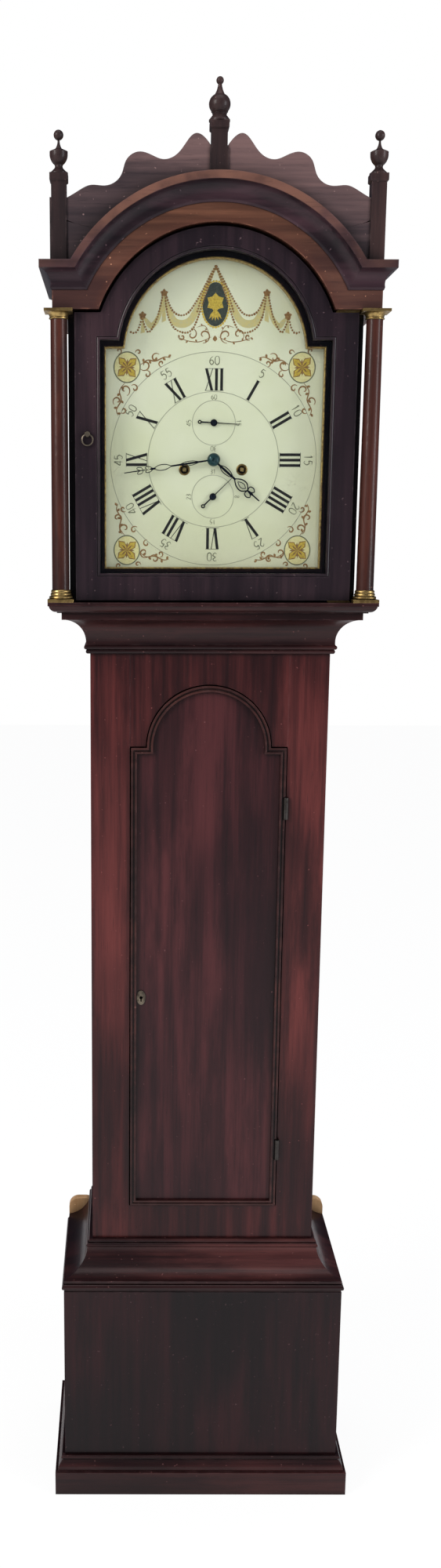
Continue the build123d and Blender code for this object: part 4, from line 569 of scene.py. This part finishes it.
sheet_of("archOval", [oval(0, arch["oval_z"], arch["rx"], arch["rz"], 64)], "under", "slate")
rosette = [petal(0, arch["oval_z"] + 2, 12.5, 7.0, a) for a in range(0, 360, 60)]
rosette += [petal(0, arch["oval_z"] - 6, 15.0, 2.6, a) for a in (180, 163, 197, 146, 214)]
rosette.append(oval(0, arch["oval_z"] + 2, 3.2, 3.2, 20))
sheet_of("archRosette", rosette, "middle", "gilt")
sheet_of("archOvalLine", ring_strips(0, arch["oval_z"], arch["rx"] + 1.2, arch["rz"] + 1.2, 1.0, 72), "under", "gilt")
print("stage: arch drawn")


def bead_group(name, spacing, size, skin):
    # Small beads set along the edges of a line mesh
    group = bpy.data.node_groups.new(name, "GeometryNodeTree")
    group.interface.new_socket("Geometry", in_out="INPUT", socket_type="NodeSocketGeometry")
    gap = group.interface.new_socket("Spacing", in_out="INPUT", socket_type="NodeSocketFloat")
    girth = group.interface.new_socket("Size", in_out="INPUT", socket_type="NodeSocketFloat")
    group.interface.new_socket("Geometry", in_out="OUTPUT", socket_type="NodeSocketGeometry")
    make, join = group.nodes.new, group.links.new
    entry, leave = make("NodeGroupInput"), make("NodeGroupOutput")
    curve, spread = make("GeometryNodeMeshToCurve"), make("GeometryNodeResampleCurve")
    spread.mode = "LENGTH"
    bead, place = make("GeometryNodeMeshIcoSphere"), make("GeometryNodeInstanceOnPoints")
    bead.inputs["Subdivisions"].default_value = 2
    real, coat, varied = make("GeometryNodeRealizeInstances"), make("GeometryNodeSetMaterial"), make("FunctionNodeRandomValue")
    varied.data_type = "FLOAT_VECTOR"
    varied.inputs[0].default_value = (0.8, 0.25, 0.8)
    varied.inputs[1].default_value = (1.15, 0.3, 1.15)
    varied.inputs["Seed"].default_value = 7
    coat.inputs["Material"].default_value = mats[skin]
    join(entry.outputs["Geometry"], curve.inputs["Mesh"])
    join(curve.outputs["Curve"], spread.inputs["Curve"])
    join(entry.outputs["Spacing"], spread.inputs["Length"])
    join(entry.outputs["Size"], bead.inputs["Radius"])
    join(spread.outputs["Curve"], place.inputs["Points"])
    join(bead.outputs["Mesh"], place.inputs["Instance"])
    join(varied.outputs[0], place.inputs["Scale"])
    join(place.outputs["Instances"], real.inputs["Geometry"])
    join(real.outputs["Geometry"], coat.inputs["Geometry"])
    join(coat.outputs["Geometry"], leave.inputs["Geometry"])
    return group, {gap.identifier: spacing, girth.identifier: size}


def beaded(name, paths, depth, spacing, size, skin, body="case"):
    verts, edges = [], []
    for path in paths:
        line = smooth(path, 10)
        first = len(verts)
        verts += [(px / 1000, depth / 1000, (pz + dial["z"]) / 1000) for px, pz in line]
        edges += [(first + i, first + i + 1) for i in range(len(line) - 1)]
    mesh = bpy.data.meshes.new(name + "Line")
    mesh.from_pydata(verts, edges, [])
    piece = bpy.data.objects.new(name, mesh)
    bpy.context.scene.collection.objects.link(piece)
    group, given = bead_group(name + "Beads", spacing / 1000, size / 1000, skin)
    modifier = piece.modifiers.new("beads", "NODES")
    modifier.node_group = group
    for key, value in given.items():
        modifier[key] = value
    bpy.context.view_layer.update()
    graph = bpy.context.evaluated_depsgraph_get()
    done = bpy.data.meshes.new_from_object(piece.evaluated_get(graph))
    print("beads", name, len(done.vertices))
    piece.modifiers.clear()
    piece.data = done
    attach(piece, body)
    return piece


both = [[(sx * px, pz) for px, pz in path] for sx in (-1, 1) for path in strings]
beaded("archStrings", both, dial["y"] - 0.35, 3.5, 1.45, "brown")
rim = [(arch["rx"] * 1.07 * math.cos(a * math.pi / 24), arch["oval_z"] + arch["rz"] * 1.05 * math.sin(a * math.pi / 24)) for a in range(49)]
beaded("archOvalBeads", [rim], dial["y"] - 0.35, 3.6, 1.5, "gilt")
print("stage: beads set")


# Ring-shaped pieces turned about a front to back line
def lathe(name, profile, x, z, skin, body, steps=56):
    verts, faces = [], []
    for step in range(steps):
        a = 2 * math.pi * step / steps
        verts += [((x + r * math.cos(a)) / 1000, y / 1000, (z + r * math.sin(a)) / 1000) for r, y in profile]
    rows = len(profile)
    for step in range(steps):
        a, b = step * rows, (step + 1) % steps * rows
        faces += [(a + i, b + i, b + i + 1, a + i + 1) for i in range(rows - 1)]
    mesh = bpy.data.meshes.new(name)
    mesh.from_pydata(verts, [], faces)
    mesh.materials.append(mats[skin])
    mesh.shade_smooth()
    piece = bpy.data.objects.new(name, mesh)
    bpy.context.scene.collection.objects.link(piece)
    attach(piece, body)
    return piece


# Blued hands with open loops, cut from thin plate
hand = {"minute": 261.7, "hour": 130.6, "front": -78.10, "rear": -77.00, "hour_front": -74.70, "hour_rear": -73.60}


def open_hand(name, strokes, solid, degrees, front, rear, body, node):
    shapes = [turn(shape, degrees) for path, wide in strokes for shape in ribbon(path, wide, 0.8)]
    shapes += [turn(shape, degrees) for shape in solid]
    verts, faces = [], []
    for index, shape in enumerate(shapes):
        area = sum(a[0] * b[1] - b[0] * a[1] for a, b in zip(shape, shape[1:] + shape[:1]))
        ordered = shape if area > 0 else shape[::-1]
        first, count = len(verts), len(ordered)
        lift = 0.002 * (index % 11)
        verts += [(px / 1000, (front + lift) / 1000, (pz + dial["z"]) / 1000) for px, pz in ordered]
        verts += [(px / 1000, rear / 1000, (pz + dial["z"]) / 1000) for px, pz in ordered]
        faces.append(tuple(range(first, first + count)))
        faces += [(first + i, first + count + i, first + count + (i + 1) % count, first + (i + 1) % count) for i in range(count)]
        faces.append(tuple(range(first + 2 * count - 1, first + count - 1, -1)))
    mesh = bpy.data.meshes.new(name)
    mesh.from_pydata(verts, [], faces)
    mesh.materials.append(mats["blued"])
    piece = bpy.data.objects.new(name, mesh)
    bpy.context.scene.collection.objects.link(piece)
    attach(piece, body)
    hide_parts(node)
    return piece


minute_strokes = [([(0, 4), (0, 30), (0, 58)], 2.4), ([(0, 92), (0, 108), (0, 122)], 1.3)]
for sx in (-1, 1):
    minute_strokes.append(([(sx * 0.6, 20), (sx * 2.6, 29), (sx * 2.4, 38), (sx * 0.4, 46)], 0.9))
    minute_strokes.append(([(0, 57), (sx * 3.2, 65), (sx * 3.4, 74), (0, 82)], 1.1))
    minute_strokes.append(([(0, 82), (sx * 3.0, 86), (sx * 4.0, 90), (sx * 2.6, 93), (0, 90)], 1.0))
    minute_strokes.append(([(0, 96), (sx * 3.6, 98), (sx * 4.4, 103), (sx * 2.4, 104), (0, 100)], 0.9))
minute_solid = [oval(0, 0, 7.2, 7.2, 40), petal(0, 78, 10.0, 2.6, 0)]
open_hand("minuteOpenHand", minute_strokes, minute_solid, hand["minute"], hand["front"], hand["rear"], "centre_arbor", "minute_hand")
hour_strokes = [([(0, 5), (0, 22), (0, 40)], 3.0), ([(0, 68), (0, 76), (0, 83)], 1.8)]
for sx in (-1, 1):
    hour_strokes.append(([(sx * 0.8, 12), (sx * 3.6, 19), (sx * 3.2, 28), (0, 36)], 1.1))
    hour_strokes.append(([(0, 38), (sx * 5.6, 46), (sx * 6.4, 55), (0, 62)], 1.6))
    hour_strokes.append(([(0, 44), (sx * 2.6, 49), (sx * 2.8, 54), (0, 58)], 1.0))
    hour_strokes.append(([(0, 62), (sx * 5.4, 61), (sx * 7.4, 66), (sx * 4.4, 70), (0, 66)], 1.4))
hour_solid = [oval(0, 0, 8.4, 8.4, 40), petal(0, 60, 14.0, 3.2, 0)]
open_hand("hourOpenHand", hour_strokes, hour_solid, hand["hour"], hand["hour_front"], hand["hour_rear"], "hour_wheel", "hour_hand")

hole = {"x": 39.0, "z": 1547.4, "r": 5.6}
for side, label in ((-1, "left"), (1, "right")):
    y = dial["y"]
    collar = [(hole["r"] - 0.6, y + 1.8), (hole["r"] - 0.5, y - 0.7), (hole["r"] + 0.3, y - 1.1), (hole["r"] + 1.5, y - 0.9), (hole["r"] + 2.0, y - 0.1)]
    lathe(label + "WindingCollar", collar, side * hole["x"], hole["z"], "brass", "case")
boss = {"z": 1560.0, "y": -82.3}
cap = [(8.6, -78.5), (8.6, -79.3), (7.9, -79.6), (8.0, -80.6), (7.2, -82.0), (5.6, -83.4), (3.6, -84.2), (2.6, -84.4), (2.4, -85.2), (1.3, -85.8), (0.02, -85.9)]
lathe("handDome", cap, 0.0, boss["z"], "dome", "centre_arbor")
lathe("secondsDome", [(3.4, -72.9), (3.4, -73.5), (2.6, -74.0), (1.0, -74.4), (0.02, -74.5)], 0.0, 1608.3, "blued", "escape_wheel")
lathe("dateDome", [(3.4, -72.9), (3.4, -73.5), (2.6, -74.0), (1.0, -74.4), (0.02, -74.5)], 0.0, 1511.7, "blued", "date_hand")


# Gilt slip and brown band round the opening in front of the dial
sight = {"half": 147.0, "low": 1416.0, "high": 1704.0, "radius": 122.5, "centre": 1693.0}


def sight_line(inset, parts=48):
    half, low, high = sight["half"] - inset, sight["low"] + inset, sight["high"] - inset
    radius = sight["radius"] - inset
    foot = math.asin((high - sight["centre"]) / radius)
    points = [(-half, high), (-half, low), (half, low), (half, high)]
    for i in range(parts + 1):
        a = foot + (math.pi - 2 * foot) * i / parts
        points.append((radius * math.cos(a), sight["centre"] + radius * math.sin(a)))
    return points


def slip(name, rows, skin, body):
    verts, faces = [], []
    for inset, y in rows:
        verts += [(px / 1000, y / 1000, pz / 1000) for px, pz in sight_line(inset)]
    count = len(sight_line(0))
    for row in range(len(rows) - 1):
        for i in range(count):
            j = (i + 1) % count
            faces.append((row * count + i, row * count + j, (row + 1) * count + j, (row + 1) * count + i))
    mesh = bpy.data.meshes.new(name)
    mesh.from_pydata(verts, [], faces)
    mesh.materials.append(mats[skin])
    piece = bpy.data.objects.new(name, mesh)
    bpy.context.scene.collection.objects.link(piece)
    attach(piece, body)
    return piece


slip("giltSlip", [(-0.4, -82.35), (0.2, -82.9), (1.0, -83.0), (1.7, -82.5), (1.9, -81.0), (1.9, -73.0)], "slip", "hood")
slip("brownBand", [(-4.2, -82.32), (-3.9, -82.62), (-0.5, -82.62), (-0.35, -82.32)], "mould", "hood")
slip("sightBead", [(-6.0, -101.4), (-6.3, -102.9), (-7.1, -103.25), (-8.4, -103.2), (-9.2, -102.8)], "hood", "hood_door")
print("stage: slips made")


# Small domed studs: four brass pins at the corners of the dial
def studs(name, places, radius, height, skin, body, face_y):
    verts, faces = [], []
    for px, pz in places:
        first = len(verts)
        for r, y in ((radius, 0.0), (radius * 0.85, height * 0.7), (radius * 0.3, height)):
            verts += [((px + r * math.cos(k * math.pi / 5)) / 1000, (face_y - y) / 1000, (pz + r * math.sin(k * math.pi / 5)) / 1000) for k in range(10)]
        for row in range(2):
            faces += [(first + row * 10 + k, first + row * 10 + (k + 1) % 10, first + row * 10 + 10 + (k + 1) % 10, first + row * 10 + 10 + k) for k in range(10)]
        faces.append(tuple(first + 20 + k for k in range(10)))
    mesh = bpy.data.meshes.new(name)
    mesh.from_pydata(verts, [], faces)
    mesh.materials.append(mats[skin])
    piece = bpy.data.objects.new(name, mesh)
    bpy.context.scene.collection.objects.link(piece)
    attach(piece, body)


studs("dialPins", [(sx * 148.5, 1560 + z) for sx in (-1, 1) for z in (-146, 146)], 1.6, 0.8, "brass", "case", -68.75)
print("stage: pieces made")


# Each gut line is a laid cord: down to the pulley, round it and back up to a knot over the seat board
gut = {"x": 0.039, "fall": 0.0221, "y": -0.00955, "top": 1.5474, "knot": 1.4916, "radius": 0.0008, "lay": 0.0052, "sides": 12}


def laid_cord(name, side, wheel_z, node):
    path = []
    steps = round((gut["top"] - wheel_z) / 0.0012)
    for i in range(steps):
        path.append((gut["x"] - gut["fall"], gut["top"] - (gut["top"] - wheel_z) * i / steps, 0.0))
    for i in range(49):
        a = math.pi * i / 48
        path.append((gut["x"] - gut["fall"] * math.cos(a), wheel_z - gut["fall"] * math.sin(a), a))
    steps = round((gut["knot"] - wheel_z) / 0.0012)
    for i in range(1, steps + 1):
        path.append((gut["x"] + gut["fall"], wheel_z + (gut["knot"] - wheel_z) * i / steps, math.pi))
    verts, faces = [], []
    run = 0.0
    for index, (px, pz, bend) in enumerate(path):
        if index:
            run += math.hypot(px - path[index - 1][0], pz - path[index - 1][1])
        over = (math.cos(bend), math.sin(bend))
        for k in range(gut["sides"]):
            t = 2 * math.pi * k / gut["sides"]
            r = gut["radius"] * (0.90 + 0.10 * math.cos(3 * (t - 2 * math.pi * run / gut["lay"])))
            out = r * math.cos(t)
            verts.append((side * (px - out * over[0]), gut["y"] + r * math.sin(t), pz - out * over[1]))
    sides = gut["sides"]
    for i in range(len(path) - 1):
        for k in range(sides):
            quad = (i * sides + k, i * sides + (k + 1) % sides, (i + 1) * sides + (k + 1) % sides, (i + 1) * sides + k)
            faces.append(quad if side > 0 else quad[::-1])
    last = (len(path) - 1) * sides
    faces += [tuple(range(sides))[::-side], tuple(range(last, last + sides))[::side]]
    mesh = bpy.data.meshes.new(name)
    mesh.from_pydata(verts, [], faces)
    for face in mesh.polygons:
        face.use_smooth = True
    mesh.materials.append(mats["gut"])
    piece = bpy.data.objects.new(name, mesh)
    bpy.context.scene.collection.objects.link(piece)
    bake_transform(piece)
    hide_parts(node)
    return piece


laid_cord("goingCord", 1, 1.0905, "going_line")
laid_cord("strikeCord", -1, 1.0205, "strike_line")
print("stage: cords laid")


# Floor, light and camera
def area(name, place, target, width, height, power, colour):
    lamp = bpy.data.lights.new(name, "AREA")
    lamp.shape = "RECTANGLE"
    lamp.size, lamp.size_y = width, height
    lamp.energy = power
    lamp.color = colour
    holder = bpy.data.objects.new(name, lamp)
    holder.location = place
    holder.rotation_euler = (Vector(target) - Vector(place)).to_track_quat("-Z", "Y").to_euler()
    bpy.context.scene.collection.objects.link(holder)


area("keyLight", (-2.9, -2.3, 2.9), (0, 0, 1.2), 1.3, 2.2, 175, (1.0, 0.98, 0.95))
area("fillLight", (3.0, -1.8, 1.9), (0, 0, 1.1), 1.2, 2.2, 105, (0.93, 0.96, 1.0))
area("topLight", (0.0, -0.7, 4.2), (0, 0, 1.4), 2.4, 1.6, 30, (1.0, 1.0, 1.0))

floor_mesh = bpy.data.meshes.new("floorSheet")
floor_mesh.from_pydata([(-9, -9, 0), (9, -9, 0), (9, 9, 0), (-9, 9, 0)], [], [(0, 1, 2, 3)])
floor = bpy.data.objects.new("floorSheet", floor_mesh)
floor.location.z = -0.0004
floor_paint = bpy.data.materials.new("floorPale")
floor_paint.use_nodes = True
ground = Sock(floor_paint.node_tree, None)
look = floor_paint.node_tree.nodes.new("ShaderNodeLightPath")
straight = Sock(floor_paint.node_tree, look.outputs["Is Camera Ray"])
matt = ground.node("ShaderNodeBsdfDiffuse", 0, {"Color": (0.66, 0.65, 0.64, 1)})
glow = ground.node("ShaderNodeEmission", 0, {"Color": (1, 1, 1, 1), "Strength": 1.0})
laid = ground.node("ShaderNodeMixShader", 0, {0: straight * 0.92, 1: matt, 2: glow})
floor_paint.node_tree.links.new(laid.socket, floor_paint.node_tree.nodes["Material Output"].inputs[0])
floor_mesh.materials.append(floor_paint)
bpy.context.scene.collection.objects.link(floor)

world = bpy.data.worlds.new("studio")
bpy.context.scene.world = world
world.use_nodes = True
sky = Sock(world.node_tree, None)
paths = world.node_tree.nodes.new("ShaderNodeLightPath")
seen = Sock(world.node_tree, paths.outputs["Is Camera Ray"])
shine = Sock(world.node_tree, paths.outputs["Is Glossy Ray"])
shade = shine.mix((0.98, 1.01, 1.08, 1), (0.050, 0.060, 0.085, 1))
sky.put(world.node_tree.nodes["Background"].inputs["Color"], seen.mix(shade, (1, 1, 1, 1)))
world.node_tree.nodes["Background"].inputs["Strength"].default_value = 1.0

eye = {"x": -0.11761, "y": -0.06275 - 1.97973, "z": 1.45998, "tilt": 77.435, "roll": 0.0822}
camera_data = bpy.data.cameras.new("view")
camera_data.sensor_width = 36.0
camera_data.sensor_fit = "AUTO"
camera_data.lens = 36.0 * 1793.28 / 2000.0
camera_data.shift_x = (281.5 - 160.77) / 2000.0
camera_data.shift_y = (1082.83 - 1000.0) / 2000.0
camera_data.clip_end = 50.0
camera = bpy.data.objects.new("view", camera_data)
turned = Matrix.Rotation(math.radians(eye["tilt"]), 4, "X") @ Matrix.Rotation(math.radians(eye["roll"]), 4, "Z")
camera.matrix_world = Matrix.Translation((eye["x"], eye["y"], eye["z"])) @ turned
bpy.context.scene.collection.objects.link(camera)
scene = bpy.context.scene
scene.camera = camera
scene.render.resolution_x = 563
scene.render.resolution_y = 2000
scene.render.engine = "CYCLES"
scene.view_settings.view_transform = "Standard"
scene.view_settings.look = "None"
scene.view_settings.exposure = 0.0
print("stage: studio ready")
